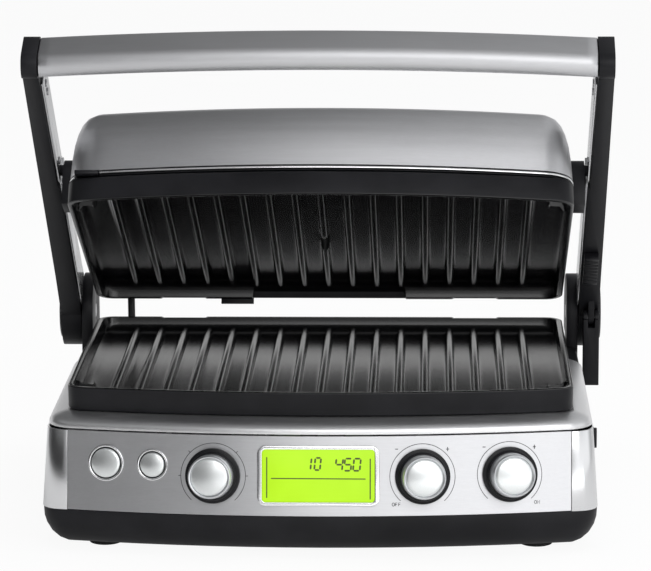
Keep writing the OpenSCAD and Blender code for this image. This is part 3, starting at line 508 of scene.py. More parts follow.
def circuit_board(name):
    """Solder mask with buried tracks and pads."""
    p = Paint(name)
    tracks = p.fade(p.cells(160.0, "DISTANCE_TO_EDGE"), 0.03, 0.06)
    pads = p.fade(p.cells(420.0), 0.1, 0.14, 1.0, 0.0)
    mask = p.blend(tracks, (0.02, 0.11, 0.05), (0.008, 0.06, 0.025))
    return p.feed(
        Base_Color=p.blend(pads * 0.8, mask, (0.62, 0.6, 0.52)),
        Roughness=0.35, Metallic=pads * 0.8,
        Normal=p.bump(tracks * 0.4 + pads, 0.2, 0.00006), Coat_Weight=0.3,
    )


def braided_sleeve(name):
    """Dark braid with crossing strands round the tube."""
    p = Paint(name)
    round_tube, along = p.axis("X") * 1900.0, p.axis("Z") * 3600.0
    weave = (along + round_tube).sine() * (along - round_tube).sine() * 0.5 + 0.5
    return p.feed(
        Base_Color=p.blend(weave, (0.012, 0.012, 0.013), (0.06, 0.06, 0.063)),
        Roughness=0.55, Normal=p.bump(weave, 0.5, 0.0002),
    )


def lit_window(name, colour):
    """Lime display light behind a clear window, a little brighter in the middle."""
    p = Paint(name)
    x = p.axis("X")
    across = p.fade((x * x).root(), 0.02, 0.038, 1.0, 0.86)
    drift = p.noise(35.0, 2.0, 0.5)
    glow = p.blend(p.fade(drift, 0.3, 0.75), colour, tint(colour, 1.05, 0.006))
    light = p.blend(across, tint(colour, 0.8), glow)
    return p.feed(
        Base_Color=p.blend(0.9, light, (0.0, 0.0, 0.0)), Roughness=0.4,
        Specular_IOR_Level=0.3, Emission_Color=light, Emission_Strength=0.83,
    )


def floor_paint(name):
    """Pale floor that reads white outside the grill's shadow, and keeps that shadow."""
    p = Paint(name)
    cloud = p.noise(3.0, 2.0, 0.5)
    material = p.feed(
        Base_Color=p.blend(p.fade(cloud, 0.3, 0.7), (0.84, 0.84, 0.84), (0.88, 0.88, 0.88)),
        Roughness=0.75, Specular_IOR_Level=0.2,
    )
    camera, glossy, through = p.rays("Is Camera Ray", "Is Glossy Ray", "Is Transmission Ray")
    white = p.node("ShaderNodeEmission", inputs={"Color": (1.0, 1.0, 1.0, 1.0), "Strength": 1.0})
    both = p.node("ShaderNodeMixShader", inputs={
        0: camera * 0.93 + glossy * 0.2 + through * 0.93,
        1: Value(p, p.shader.outputs[0]), 2: p.value(white)})
    p.tree.links.new(both.outputs[0], p.end.inputs["Surface"])
    return material


BRIGHT_SHEET, MOULDING = (0.74, 0.74, 0.75), (0.035, 0.038, 0.042)
# Slot, function, material name and settings of each finish; a setting that is a word is a
# colour of the sidebar
FINISHES = {
    "panel_steel": (
        "brushed_steel", brushed_steel, "Panel steel", "steel", 0.32, (14.0, 2200.0, 2200.0)),
    "lid_steel": (
        "brushed_steel", brushed_steel, "Lid steel", "steel", 0.36, (12.0, 2000.0, 2000.0)),
    "handle_steel": (
        "brushed_steel", brushed_steel, "Handle steel", "steel", 0.4, (9.0, 2400.0, 2400.0)),
    "ledge_steel": (
        "polished_steel", brushed_steel, "Ledge steel", BRIGHT_SHEET, 0.3,
        (40.0, 1400.0, 1400.0)),
    "polished": ("polished_steel", polished_steel, "Polished steel", BRIGHT_SHEET),
    "chrome": ("polished_steel", polished_steel, "Bright ring metal", (0.84, 0.84, 0.85)),
    "knob_metal": ("polished_steel", polished_steel, "Knob metal", (0.76, 0.77, 0.79), 0.3),
    "plastic": ("black_plastic", black_plastic, "Black plastic", "plastic"),
    "smooth_plastic": (
        "black_plastic", black_plastic, "Smooth black plastic", "plastic", 0.3, 2200.0),
    "plate_side": (
        "plate_coating", black_plastic, "Plate side coating", "plastic", 0.36, 1600.0),
    "coating": ("plate_coating", plate_coating, "Plate coating"),
    "pearl": ("pearl_silver", pearl_silver, "Pearl silver"),
    "rubber": (
        "rubber", mottled, "Foot rubber", (240.0, 4.0, 0.6),
        ((0.012, 0.012, 0.012), (0.05, 0.05, 0.048)), (0.5, 0.8), (0.3, 0.8, 0.72, 0.9),
        (0.4, 0.0001)),
    "sheet": ("sheet_steel", sheet_metal, "Plated sheet", (0.55, 0.55, 0.56)),
    "reflector": ("reflector", sheet_metal, "Reflector sheet", (0.8, 0.8, 0.8), 0.22),
    "tube": ("element_steel", heated_tube, "Heated tube"),
    "screw": (
        "screw_steel", mottled, "Screw metal", (700.0, 3.0, 0.6),
        ((0.36, 0.36, 0.37), (0.6, 0.6, 0.61)), (0.4, 0.7), (0.3, 0.7, 0.25, 0.42),
        (0.1, 0.00003), 1.0),
    "circuit": ("circuit", circuit_board, "Circuit board"),
    "electrical": (
        "dark_parts", mottled, "Electrical mouldings", (320.0, 3.0, 0.6),
        (MOULDING, tint(MOULDING, 1.3)), (0.35, 0.7), (0.3, 0.7, 0.45, 0.58), (0.15, 0.00005)),
    "braid": ("conduit", braided_sleeve, "Braided sleeve"),
    "window": ("lcd_lens", lit_window, "Lit window", "display"),
    "segments": ("lcd_lens", ink, "Display segments", (0.06, 0.085, 0.012), 0.3),
    "print": ("black_plastic", ink, "Panel print", (0.035, 0.035, 0.038)),
    "floor": (None, floor_paint, "Pale floor"),
}
# The same metals in slots of their own
FINISHES["pin"] = ("pin_steel", *FINISHES["screw"][1:])
FINISHES["probe"] = ("probe_metal", *FINISHES["sheet"][1:])
MADE = {}


def finish(look):
    """The material of a finish, made once."""
    _, maker, title, *settings = FINISHES[look]
    if title not in MADE:
        colours = bpy.context.scene.grill_colours
        MADE[title] = maker(title, *(
            tuple(getattr(colours, part)) if isinstance(part, str) else part
            for part in settings))
    return MADE[title]


# ---- Cooking plates ----

WALL, FLOOR, CORNER, BRIM = 4.0, -11.5, 12.0, -0.3
PITCH, RIB_W, RIB_H, LAST_RIB = 17.3, 5.0, 6.0, 8
RIB_ROUND, RIB_FOOT, RIB_FOOT_H = 2.2, 1.4, 1.3
PROBE_Y, PROBE_R = 112.0, 8.0
COVE, COVE_H = 13.0, 10.0
REAR_BAND, SPOUT_X, SPOUT_HALF, SPOUT_DEPTH = 8.0, 105.0, 17.0, 3.0
NOTCH_HALF, NOTCH_DEPTH = 55.2, 5.5
PAD_W, PAD_D, PAD_H, WELL_DEPTH = 14.0, 27.0, 10.2, 8.0
WELLS = ((4.2, 12.6), (15.8, 23.6))
PLATE_SAG = sag(PLATE_HALF)
CORNER_X, BOW_Y = PLATE_HALF - CORNER, BOW - PLATE_SAG
CORNER_Y = BOW_Y - math.sqrt((BOW - CORNER) ** 2 - CORNER_X * CORNER_X)
CORNER_TURN = math.atan2(CORNER_Y - BOW_Y, CORNER_X)


def corner_reach(x):
    return math.sqrt(max(CORNER * CORNER - (x - CORNER_X) ** 2, 0.0))


def edge_front(x):
    """The plate's front edge at x, corners included."""
    x = abs(x)
    if x <= BOW * math.cos(CORNER_TURN):
        return BOW_Y - math.sqrt(BOW * BOW - x * x)
    return CORNER_Y - corner_reach(x)


def edge_rear(x):
    """The plate's rear edge at x, corners included."""
    x = abs(x)
    return PLATE_D if x <= CORNER_X else PLATE_D - CORNER + corner_reach(x)


def depth_in(x, y):
    """Distance of a point from the nearest outer edge of the plate."""
    x = abs(x)
    if x > CORNER_X and y < CORNER_Y:
        return CORNER - math.hypot(x - CORNER_X, y - CORNER_Y)
    if x > CORNER_X and y > PLATE_D - CORNER:
        return CORNER - math.hypot(x - CORNER_X, y - PLATE_D + CORNER)
    return min(PLATE_HALF - x, BOW - math.hypot(x, y - BOW_Y), PLATE_D - y)


def smooth(t):
    t = min(max(t, 0.0), 1.0)
    return t * t * (3 - 2 * t)


def rim_height(x, y, depth, upper):
    """Height of the plate's wall, with its rounded edges, spouts and rear notch."""
    if depth < 0.5:
        top = -0.5 + math.sqrt(max(0.25 - (0.5 - depth) ** 2, 0.0))
    elif depth < WALL - 0.7:
        top = 0.0
    else:
        top = -smooth((depth - WALL + 0.7) / 0.9) * 0.6
    if y > PLATE_D - REAR_BAND:
        top -= SPOUT_DEPTH * smooth((SPOUT_HALF - abs(abs(x) - SPOUT_X)) / 6.0)
        if upper:
            top -= NOTCH_DEPTH * smooth((NOTCH_HALF - abs(x)) / 1.2)
    return top


def rib_height(x, y, upper):
    """Height of the ribs' rounded tops and feet over the plate's floor."""
    number = round(x / PITCH)
    off = abs(x - number * PITCH)
    if abs(number) > LAST_RIB or off >= RIB_W / 2 + RIB_FOOT:
        return 0.0
    start, end = edge_front(x) + WALL + 2.2, PLATE_D - WALL - 5.4
    along = min(smooth((y - start) / 3.2), smooth((end - y) / 2.6))
    if upper and number == 0:
        along *= smooth((abs(y - PROBE_Y) - PROBE_R) / 3.0)
    if off < RIB_W / 2:
        arch = math.sqrt(max(1 - (off / (RIB_W / 2)) ** 2, 0.0))
        return (RIB_H - RIB_ROUND + RIB_ROUND * arch) * along
    return RIB_FOOT_H * (1 - (off - RIB_W / 2) / RIB_FOOT) ** 2 * along


def plate_height(x, y, upper):
    """Height of the cooking face under the rim; the upper plate's rear wall has a notch."""
    depth = depth_in(x, y)
    top = rim_height(x, y, depth, upper)
    if depth < WALL:
        return top
    into = depth - WALL
    wall = FLOOR + 11.0 * max(1.0 - into, 0.0) + 2.0 * max(1 - into / 4.5, 0.0) ** 2
    low = min(max(FLOOR, wall), BRIM)
    rear = PLATE_D - WALL - COVE
    if y > rear:
        share = min((y - rear) / COVE, 1.0)
        low = max(low, FLOOR + COVE_H * (1 - math.sqrt(max(1 - share * share, 0.0))))
    if into < 0.3:
        low = max(low, top)
    if upper and y > PLATE_D - REAR_BAND and abs(x) < NOTCH_HALF:
        low = min(low, top)
    low = max(low, FLOOR + rib_height(x, y, upper))
    # corner pads with two wells
    side = PLATE_HALF - WALL - abs(x)
    if side < PAD_W and y < PAD_D:
        pad = smooth((PAD_W - side) / 1.2) * smooth((PAD_D - y) / 1.2)
        well = smooth((12.2 - side) / 0.8) * smooth((side - 0.2) / 0.8) * max(
            smooth((y - a) / 0.8) * smooth((b - y) / 0.8) for a, b in WELLS)
        low = max(low, FLOOR + (PAD_H - WELL_DEPTH * well) * pad)
    return low


# Where the plate's mesh is cut: from a rib's middle, from the side walls, from the spouts'
# and the notch's ends, then from the front and the rear edge, in millimetres
RIB_CUTS = (0.0, 0.8, 1.5, 2.1, 2.45, 2.55, 3.1, 3.9, 6.0)
SIDE_CUTS = (
    0.0, 0.15, 0.5, 1.5, 3.2, 3.6, 4.0, 4.4, 5.0, 6.0, 8.0, 11.0, 15.6, 16.4, 17.2, 18.2)
SPOUT_CUTS, NOTCH_CUTS = (-17.0, -14.0, -11.0, 11.0, 14.0, 17.0), (53.9, 54.3, 54.9, 55.3)
FRONT_CUTS = (0.0, 0.15, 0.5, 1.5, 3.2, 3.6, 4.0, 4.4, 5.0, 6.0, 7.0, 8.0, 9.2, 10.5, 12.0)
REAR_CUTS = (17.5, 15.5, 13.5, 11.5, 9.8, 8.4, 7.2, 6.2, 5.2, 4.6, 4.0, 3.2, 1.5, 0.5, 0.0)
MIDDLE_ROWS = 46
# Height and inset of the rings down the plate's outside
SKIRT = ((-0.9, 0.0), (-PLATE_H + 1.6, 0.25), (-PLATE_H + 0.5, 0.8), (-PLATE_H, 1.9))


def plate_piece(name, upper):
    """A cast plate with ribs, corner wells, a rear cove and spouts, rim at z = 0."""
    across = {
        number * PITCH + sign * off for number in range(-LAST_RIB, LAST_RIB + 1)
        for off in RIB_CUTS for sign in (-1, 1)}
    cuts = [PLATE_HALF - off for off in SIDE_CUTS]
    cuts += [SPOUT_X - off for off in SPOUT_CUTS] + list(NOTCH_CUTS)
    across.update(cuts, [-x for x in cuts])
    columns = []
    for x in sorted(across):
        if not columns or x - columns[-1] > 0.2 or PLATE_HALF - abs(x) < 0.6:
            columns.append(x)
    points = []
    for x in columns:
        low, high = edge_front(x), edge_rear(x)
        a, b = low + FRONT_CUTS[-1], high - REAR_CUTS[0]
        steps = [low + cut for cut in FRONT_CUTS]
        steps += [a + (b - a) * (k + 1) / (MIDDLE_ROWS + 1) for k in range(MIDDLE_ROWS)]
        steps += [high - cut for cut in REAR_CUTS]
        points += [(x, y, plate_height(x, y, upper)) for y in steps]
    wide = len(columns)
    count = len(points) // wide
    faces = [
        (i * count + j, (i + 1) * count + j, (i + 1) * count + j + 1, i * count + j + 1)
        for i in range(wide - 1) for j in range(count - 1)
    ]
    cooking_faces = len(faces)
    loop = (
        [i * count for i in range(wide)]
        + [(wide - 1) * count + j for j in range(1, count)]
        + [i * count + count - 1 for i in range(wide - 2, -1, -1)]
        + list(range(count - 2, 0, -1))
    )
    n, previous = len(loop), loop
    for z, inward in SKIRT:
        ring = list(range(len(points), len(points) + n))
        for x, y, _ in [points[index] for index in loop]:
            toward = Vector((-x, PLATE_D / 2 - y)).normalized()
            points.append((x + toward.x * inward, y + toward.y * inward, z))
        faces += [
            (previous[i], ring[i], ring[(i + 1) % n], previous[(i + 1) % n])
            for i in range(n)
        ]
        previous = ring
    faces.append(tuple(previous))
    return new_mesh(name, points, faces), cooking_faces


# ---- Property groups ----

class GrillSizes(bpy.types.PropertyGroup):
    """Sizes of the dressed grill."""
    edge_round: bpy.props.FloatProperty(
        name="Edge rounding", description="Radius of the moulded edges, in millimetres",
        default=0.7, min=0.1, max=1.5)
    print_width: bpy.props.FloatProperty(
        name="Print width", description="Width of the printed lines, in millimetres",
        default=0.42, min=0.2, max=0.8)


class GrillColours(bpy.types.PropertyGroup):
    """Colours of the finishes."""
    steel: bpy.props.FloatVectorProperty(
        name="Steel", description="Colour of the brushed steel", subtype="COLOR",
        default=(0.62, 0.62, 0.635), min=0.0, max=1.0)
    plastic: bpy.props.FloatVectorProperty(
        name="Plastic", description="Colour of the black plastic", subtype="COLOR",
        default=(0.007, 0.007, 0.0085), min=0.0, max=1.0)
    display: bpy.props.FloatVectorProperty(
        name="Display", description="Colour of the lit display", subtype="COLOR",
        default=(0.56, 1.0, 0.012), min=0.0, max=1.0)


class GrillStage(bpy.types.PropertyGroup):
    """Floor, lights and camera."""
    key_power: bpy.props.FloatProperty(
        name="Key light", description="Power of the large side light", subtype="POWER",
        default=13.0, min=0.0)
    fill_power: bpy.props.FloatProperty(
        name="Top light", description="Power of the overhead light", subtype="POWER",
        default=20.0, min=0.0)
    low_power: bpy.props.FloatProperty(
        name="Low light", description="Power of the low light in front", subtype="POWER",
        default=0.4, min=0.0)
    world_level: bpy.props.FloatProperty(
        name="World level", description="Strength of the surrounding light",
        default=1.0, min=0.0, max=2.0)
    lens: bpy.props.FloatProperty(
        name="Lens", description="Focal length of the camera in millimetres",
        default=193.8, min=50.0, max=300.0)


# ---- Operators ----

def coat_plate(piece, cooking_faces, body, node):
    """Glossy coating on the cooking side, and a plainer one on the plate's outside."""
    dress(piece, body, "coating", node)
    piece.data.materials.append(finish("plate_side"))
    for number, face in enumerate(piece.data.polygons):
        face.material_index = 0 if number < cooking_faces else 1


class GRILL_OT_plates(bpy.types.Operator):
    """Makes both cooking plates with ribs, wells and spouts"""
    bl_idname = "grill.plates"
    bl_label = "Cooking plates"

    def execute(self, context):
        on_base = Matrix.Translation(Vector((0, PLATE_Y, RIM)) * MM)
        face_down = Matrix.Diagonal((1, 1, -1, 1))
        for side, turns in (("lower", (on_base,)), ("upper", (face_down, IN_LID))):
            plate, cooking_faces = plate_piece(side + "_cooking_plate", side == "upper")
            for turn in turns:
                place(plate, turn)
            coat_plate(soften(plate, 50.0), cooking_faces, side + "_plate_body",
                       side + "_plate")
        return {"FINISHED"}


COVER_HALF, COVER_REAR, COVER_CORNER = 167.3, 230.8, 24.0
COVER_FRONT, COVER_FOOT, COVER_H = -sag(COVER_HALF) + 0.2, 20.3, 45.5
# Share of the cover's height, and how far its side is drawn in there
COVER_SHARES = [
    (0, 0), (0.3, 1), (0.52, 2.4), (0.69, 4.4), (0.825, 7), (0.91, 10), (0.97, 14.5), (1, 21),
]


def cover_ring(inset, height):
    outline = plan(COVER_HALF, COVER_FRONT, COVER_REAR, COVER_CORNER, COVER_CORNER, inset)
    return level(outline, COVER_FOOT + height)


class GRILL_OT_lid(bpy.types.Operator):
    """Makes the domed steel cover, its trim, the frame and the side ears"""
    bl_idname = "grill.lid"
    bl_label = "Lid"

    def execute(self, context):
        rings = [cover_ring(1.2, 12.0), cover_ring(1.2, 0.0)]
        for (a, ia), (b, ib) in zip(COVER_SHARES, COVER_SHARES[1:] + COVER_SHARES[-1:]):
            for k in range(3 if b > a else 1):
                share, inset = a + (b - a) * k / 3, ia + (ib - ia) * k / 3
                rings.append(cover_ring(inset + 0.02, share * COVER_H - 0.02))
        cover = place(loft("lid_cover_sheet", rings, cap_first=False), IN_LID)
        brush_along_x(soften(cover, 40.0))
        dress(cover, "lid", "lid_steel", "lid_cover")
        carry_over("lid", (
            ("lid_trim", 0.3, "polished"), ("lid_frame", 0.4, "plastic"),
            ("lid_ears", 0.6, "plastic"),
        ))
        carry_over("upper_catch", (("upper_release", 0.5, "smooth_plastic"),))
        return {"FINISHED"}


LEDGE_HALF, LEDGE_W, LEDGE_CORNER = 180.0, 12.5, 20.5
LEDGE_TOP, LEDGE_END = RIM - 16.3, PLATE_Y + 168.0
LEDGE_FRONT, LEDGE_REAR = PLATE_Y - PLATE_SAG - LEDGE_W, 163.5
# Depth below the ledge's top and inset of its rolled edge, then of its underside
LEDGE_ROLL = [
    (8.7, 0), (7.5, 0.05), (6.4, 0.25), (5.4, 0.75), (4.4, 1.6), (3.5, 2.8), (2.7, 4.3),
    (1.95, 6.1), (1.25, 8.1), (0.6, 10.2), (0.15, 11.8), (0, 12.6),
]
LEDGE_UNDER = [(1.5, 13.4), (3.4, 8.2), (5.6, 4.2), (7.2, 2.1), (8.7, 1.5)]


def ledge_level(depth, inset):
    outline = plan(LEDGE_HALF, LEDGE_FRONT, LEDGE_REAR, LEDGE_CORNER, 12.0, inset)
    return level(outline, LEDGE_TOP - depth)


def steel_ledge_piece():
    """The rolled ledge round the front and sides of the lower plate."""
    lip = plan(PLATE_HALF, PLATE_Y - PLATE_SAG, PLATE_Y + PLATE_D, CORNER, CORNER, 6.0)
    levels = [ledge_level(*step) for step in LEDGE_ROLL]
    levels += [level(lip, LEDGE_TOP), level(lip, LEDGE_TOP - 1.5)]
    levels += [ledge_level(*step) for step in LEDGE_UNDER]
    half = len(lip) // 2
    side = [i for i, point in enumerate(levels[0]) if point[1] < LEDGE_END]
    left, right = [i for i in side if i > half], [i for i in side if i <= half]
    return loft("ledge_rolled", [
        [(p[i][0], min(p[i][1], LEDGE_END), p[i][2]) for p in levels]
        for i in [left[0] - 1] + left + right + [right[-1] + 1]
    ])


class GRILL_OT_base(bpy.types.Operator):
    """Makes the tub, side wraps, rear housing, ledge, towers and feet"""
    bl_idname = "grill.base"
    bl_label = "Base shells"

    def execute(self, context):
        edge_round = context.scene.grill_sizes.edge_round
        carry_over("base", (
            ("lower_tub", 0.5, "plastic"), ("side_wraps", 0.3, "polished"),
            ("rear_housing", edge_round, "plastic"), ("hinge_towers", edge_round, "plastic"),
            ("feet", 0.6, "rubber"), ("cord_gland", 0.4, "rubber"),
            ("case_screws", 0.2, "screw"), ("hinge_pins", 0.2, "pin"),
            ("tray_rails", 0.2, "sheet"),
        ))
        ledge = brush_along_x(soften(steel_ledge_piece(), 35.0))
        dress(ledge, "base", "ledge_steel", "steel_ledge")
        carry_over("tray", (("drip_tray", 0.6, "smooth_plastic"),))
        carry_over("lower_catch", (("lower_release", 0.5, "smooth_plastic"),))
        return {"FINISHED"}


# Distance up the panel of the buttons, the knobs and the display
BUTTON_S, KNOB_S, WINDOW_S = 32.0, 26.0, 26.8


def control_place(x, s):
    """Frame of a control: its z points out of the bowed, slanted panel."""
    s = s + sag(abs(x)) * math.tan(PANEL_LEAN)
    panel = Matrix.Translation(Vector((0, FRONT, PANEL_FOOT)) * MM) @ Matrix.Rotation(
        -PANEL_LEAN, 4, "X")
    turn = Matrix.Rotation(math.asin(x / BOW), 4, "Z")
    return (
        panel @ Matrix.Translation(Vector((0, BOW, s)) * MM) @ turn
        @ Matrix.Translation(Vector((0, -BOW, 0)) * MM) @ Matrix.Rotation(math.pi / 2, 4, "X")
    )


def bow_shading(piece):
    """Shades the panel's face as the true bow, with no facets round its holes."""
    mesh = piece.data
    normals = [tuple(corner.vector) for corner in mesh.corner_normals]
    for face in mesh.polygons:
        for index in face.loop_indices:
            x = mesh.vertices[mesh.loops[index].vertex_index].co.x / MM
            turn = math.asin(x / BOW)
            bow = Vector((math.sin(turn), -math.cos(turn) * math.cos(PANEL_LEAN),
                          math.cos(turn) * math.sin(PANEL_LEAN)))
            if face.normal.dot(bow) > 0.985:
                normals[index] = tuple(bow)
    mesh.normals_split_custom_set(normals)
    return piece


class GRILL_OT_panel(bpy.types.Operator):
    """Makes the brushed control panel"""
    bl_idname = "grill.panel"
    bl_label = "Control panel"

    def execute(self, context):
        panel = bow_shading(brush_along_x(rounded_copy("control_panel", 0.25)))
        dress(panel, "base", "panel_steel", "control_panel")
        return {"FINISHED"}


BUTTONS = (("start_button", "start_push", -140.0, 9.2), ("sear_button", "sear_push", -109.0, 7.6))
KNOBS = (("select", -69.0), ("temp", 68.0), ("time", 125.0))
# Profiles in (radius, height); those of the buttons start from the button's own radius
BUTTON_WELL = (
    (0.62, -4.7), (1.12, -4.7), (1.12, 0.2), (1.0, 0.3), (0.7, 0.3), (0.62, 0.2), (0.62, -4.7))
BUTTON_RING = (
    (1.14, -1.0), (1.18, 0.12), (2.85, 0.12), (2.88, 0.6), (2.7, 0.98), (2.35, 1.17),
    (1.9, 1.17), (1.45, 0.95), (1.2, 0.5), (1.14, -1.0))
KNOB_SKIRT = (
    (3.05, 3.55), (15.9, 3.55), (16.15, 3.8), (16.15, 5.2), (15.8, 6.1), (15.1, 6.7),
    (14.4, 6.9), (3.05, 6.9))
KNOB_BODY = (
    (3.05, 6.95), (14.3, 6.95), (14.55, 7.3), (14.5, 9.0), (14.35, 14.4), (14.2, 16.4),
    (13.95, 17.5), (13.55, 18.15), (13.15, 18.35), (12.75, 18.2), (12.45, 17.8),
    (12.35, 16.3), (3.05, 16.2))
KNOB_FACE = (
    (0.01, 16.25), (12.2, 16.25), (12.25, 17.2), (11.95, 17.6), (10.5, 17.95), (8.4, 18.3),
    (6.0, 18.65), (3.0, 18.95), (0.01, 19.05))


class GRILL_OT_controls(bpy.types.Operator):
    """Makes the knobs, push buttons, their rings and their inside parts"""
    bl_idname = "grill.controls"
    bl_label = "Controls"

    def execute(self, context):
        def turned(name, profile, turns, edge, body, look, *nodes):
            piece = place(lathe(name, profile, turns), at)
            dress(soften(piece, edge), body, look, *nodes)

        for node, body, x, r in BUTTONS:
            at = control_place(x, BUTTON_S)
            turned(node + "_cap", (
                (0.01, -3.0), (r - 0.05, -3.0), (r + 0.45, -2.0), (r + 0.45, 0.9),
                (r + 0.25, 1.3), (r - 0.3, 1.6), (r * 0.85, 1.82), (r * 0.65, 2.1),
                (r * 0.45, 2.3), (r * 0.22, 2.44), (0.01, 2.49),
            ), 64, 50.0, body, "pearl", node)
            turned(node + "_well", [(r + out, z) for out, z in BUTTON_WELL], 72, 50.0,
                   "base", "smooth_plastic")
            turned(node + "_ring", [(r + out, z) for out, z in BUTTON_RING], 72, 50.0,
                   "base", "chrome")
        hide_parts("button_rings")
        for name, x in KNOBS:
            at, body = control_place(x, KNOB_S), name + "_dial"
            turned(name + "_knob_skirt", KNOB_SKIRT, 96, 35.0, body, "smooth_plastic")
            turned(name + "_knob_body", KNOB_BODY, 96, 35.0, body, "knob_metal",
                   name + "_knob")
            turned(name + "_knob_face", KNOB_FACE, 72, 50.0, body, "pearl", name + "_cap")
            carry_over(body, ((name + "_shaft", 0.2, "pin"),))
        carry_over("base", (
            ("knob_collars", 0.5, "smooth_plastic"), ("encoder_bodies", 0.15, "electrical"),
            ("button_switches", 0.15, "electrical"), ("control_board", 0.15, "circuit"),
            ("power_board", 0.15, "circuit"), ("power_parts", 0.15, "electrical"),
            ("display_module", 0.15, "electrical"),
        ))
        return {"FINISHED"}


PRINT_H = 0.06


def ribbon(path, width, high=PRINT_H, closed=False):
    """A thin printed line with square ends, along points on the bowed panel."""
    points, faces = [], []
    n = len(path)
    for k, (x, y) in enumerate(path):
        a = path[(k - 1) % n] if closed else path[max(k - 1, 0)]
        b = path[(k + 1) % n] if closed else path[min(k + 1, n - 1)]
        d = Vector((b[0] - a[0], b[1] - a[1])).normalized()
        side = Vector((-d.y, d.x)) * (width / 2)
        for s in (-1, 1):
            px, py = x + s * side.x, y + s * side.y
            top = high - px * px / (2 * BOW)
            points += [(px, py, top), (px, py, top - 0.1)]
    for k in range(n if closed else n - 1):
        a, b = 4 * k, 4 * ((k + 1) % n)
        faces += [
            (a, b, b + 2, a + 2), (a + 1, a + 3, b + 3, b + 1),
            (a, a + 1, b + 1, b), (a + 2, b + 2, b + 3, a + 3),
        ]
    if not closed:
        faces += [(0, 2, 3, 1), (4 * n - 4, 4 * n - 3, 4 * n - 1, 4 * n - 2)]
    return new_mesh("stroke", points, faces)


LETTERS = {
    "O": [[(0.5, 1.0), (0.15, 0.9), (0.0, 0.6), (0.0, 0.4), (0.15, 0.1), (0.5, 0.0),
           (0.85, 0.1), (1.0, 0.4), (1.0, 0.6), (0.85, 0.9), (0.5, 1.0)]],
    "F": [[(0.0, 0.0), (0.0, 1.0), (0.8, 1.0)], [(0.0, 0.52), (0.7, 0.52)]],
    "N": [[(0.0, 0.0), (0.0, 1.0), (0.9, 0.0), (0.9, 1.0)]],
    "-": [[(0.0, 0.5), (1.0, 0.5)]],
    "+": [[(0.0, 0.5), (1.0, 0.5)], [(0.5, 0.0), (0.5, 1.0)]],
}


def written(word, cx, cy, size, width):
    """Strokes of a short word or sign, centred at a point."""
    left = cx - size * (len(word) / 2 - 0.15)
    return [
        ribbon([(left + (number + px * 0.72) * size, cy + (py - 0.5) * size)
                for px, py in stroke], width)
        for number, letter in enumerate(word) for stroke in LETTERS[letter]
    ]


# Radius and ends of the arc round each knob, and the length of the select knob's marks
DIAL_R, DIAL_START, DIAL_END, DIAL_MARK = 21.4, 228, -48, 1.6
SIGN_SIZE, WORD_SIZE = 2.7, 2.1
# Knob, word and its middle; then the signs over the temperature and time knobs
WORDS = (("temp", "OFF", -17.0, -18.3), ("time", "ON", 18.3, -18.3))
SIGNS = (("-", -17.0, 17.9), ("+", 16.4, 17.9))


class GRILL_OT_print(bpy.types.Operator):
    """Prints the arcs and signs round the knobs"""
    bl_idname = "grill.print"
    bl_label = "Panel print"

    def execute(self, context):
        width = context.scene.grill_sizes.print_width
        for name, x in KNOBS:
            dial = arc(0, 0, DIAL_R, DIAL_START, DIAL_START, 1)
            dial += arc(0, 0, DIAL_R, DIAL_START, DIAL_END, 60)
            strokes = [ribbon(dial, width)]
            if name == "select":
                for turn in (135, 180, 0, 45):
                    a = math.radians(turn)
                    strokes.append(ribbon([
                        (r * math.cos(a), r * math.sin(a))
                        for r in (DIAL_R, DIAL_R + DIAL_MARK)], width))
            else:
                for sign, sx, sy in SIGNS:
                    strokes += written(sign, sx, sy, SIGN_SIZE, width * 1.3)
            for knob, word, wx, wy in WORDS:
                if knob == name:
                    strokes += written(word, wx, wy, WORD_SIZE, width)
            marks = place(joined(name + "_print", strokes), control_place(x, KNOB_S))
            dress(marks, "base", "print")
        return {"FINISHED"}


SEGMENTS = {
    "a": ((0.06, 1.0), (0.94, 1.0)), "b": ((1.0, 0.97), (1.0, 0.53)),
    "c": ((1.0, 0.47), (1.0, 0.03)), "d": ((0.06, 0.0), (0.94, 0.0)),
    "e": ((0.0, 0.47), (0.0, 0.03)), "f": ((0.0, 0.97), (0.0, 0.53)),
    "g": ((0.06, 0.5), (0.94, 0.5)),
}
DIGITS = {"0": "abcdef", "1": "bc", "4": "fgbc", "5": "afgcd"}
DIGIT_H, DIGIT_THICK, DIGIT_SLOPE = 7.9, 1.2, math.tan(math.radians(6.0))
# Digit, left end, foot and width
READOUT = (
    ("1", -8.9, 3.9, 3.7), ("0", -2.7, 3.9, 3.7), ("4", 11.0, 3.5, 4.4),
    ("5", 16.7, 3.5, 4.4), ("0", 22.6, 3.5, 4.4))
# Ends and thickness of the lines between the display's fields
RULES = (
    ((-31.1, -1.7), (31.0, -1.9), 0.75), ((-33.7, 12.4), (-33.7, -14.6), 0.8),
    ((33.9, 11.6), (33.9, -15.4), 0.8))
SEGMENT_Z, SEGMENT_DEEP = 0.16, 0.06


def segment_bar(start, end, width):
    """One pointed segment of a digit."""
    a, b = Vector(start), Vector(end)
    d = (b - a).normalized() * width / 2
    side = Vector((-d.y, d.x))
    tips = [a, a + d + side, b - d + side, b, b - d - side, a + d - side]
    points = [(p.x, p.y, z) for z in (SEGMENT_Z, SEGMENT_Z - SEGMENT_DEEP) for p in tips]
    faces = [tuple(range(6)), tuple(range(11, 5, -1))]
    faces += [(i, (i + 1) % 6, (i + 1) % 6 + 6, i + 6) for i in range(6)]
    return new_mesh("segment", points, faces)


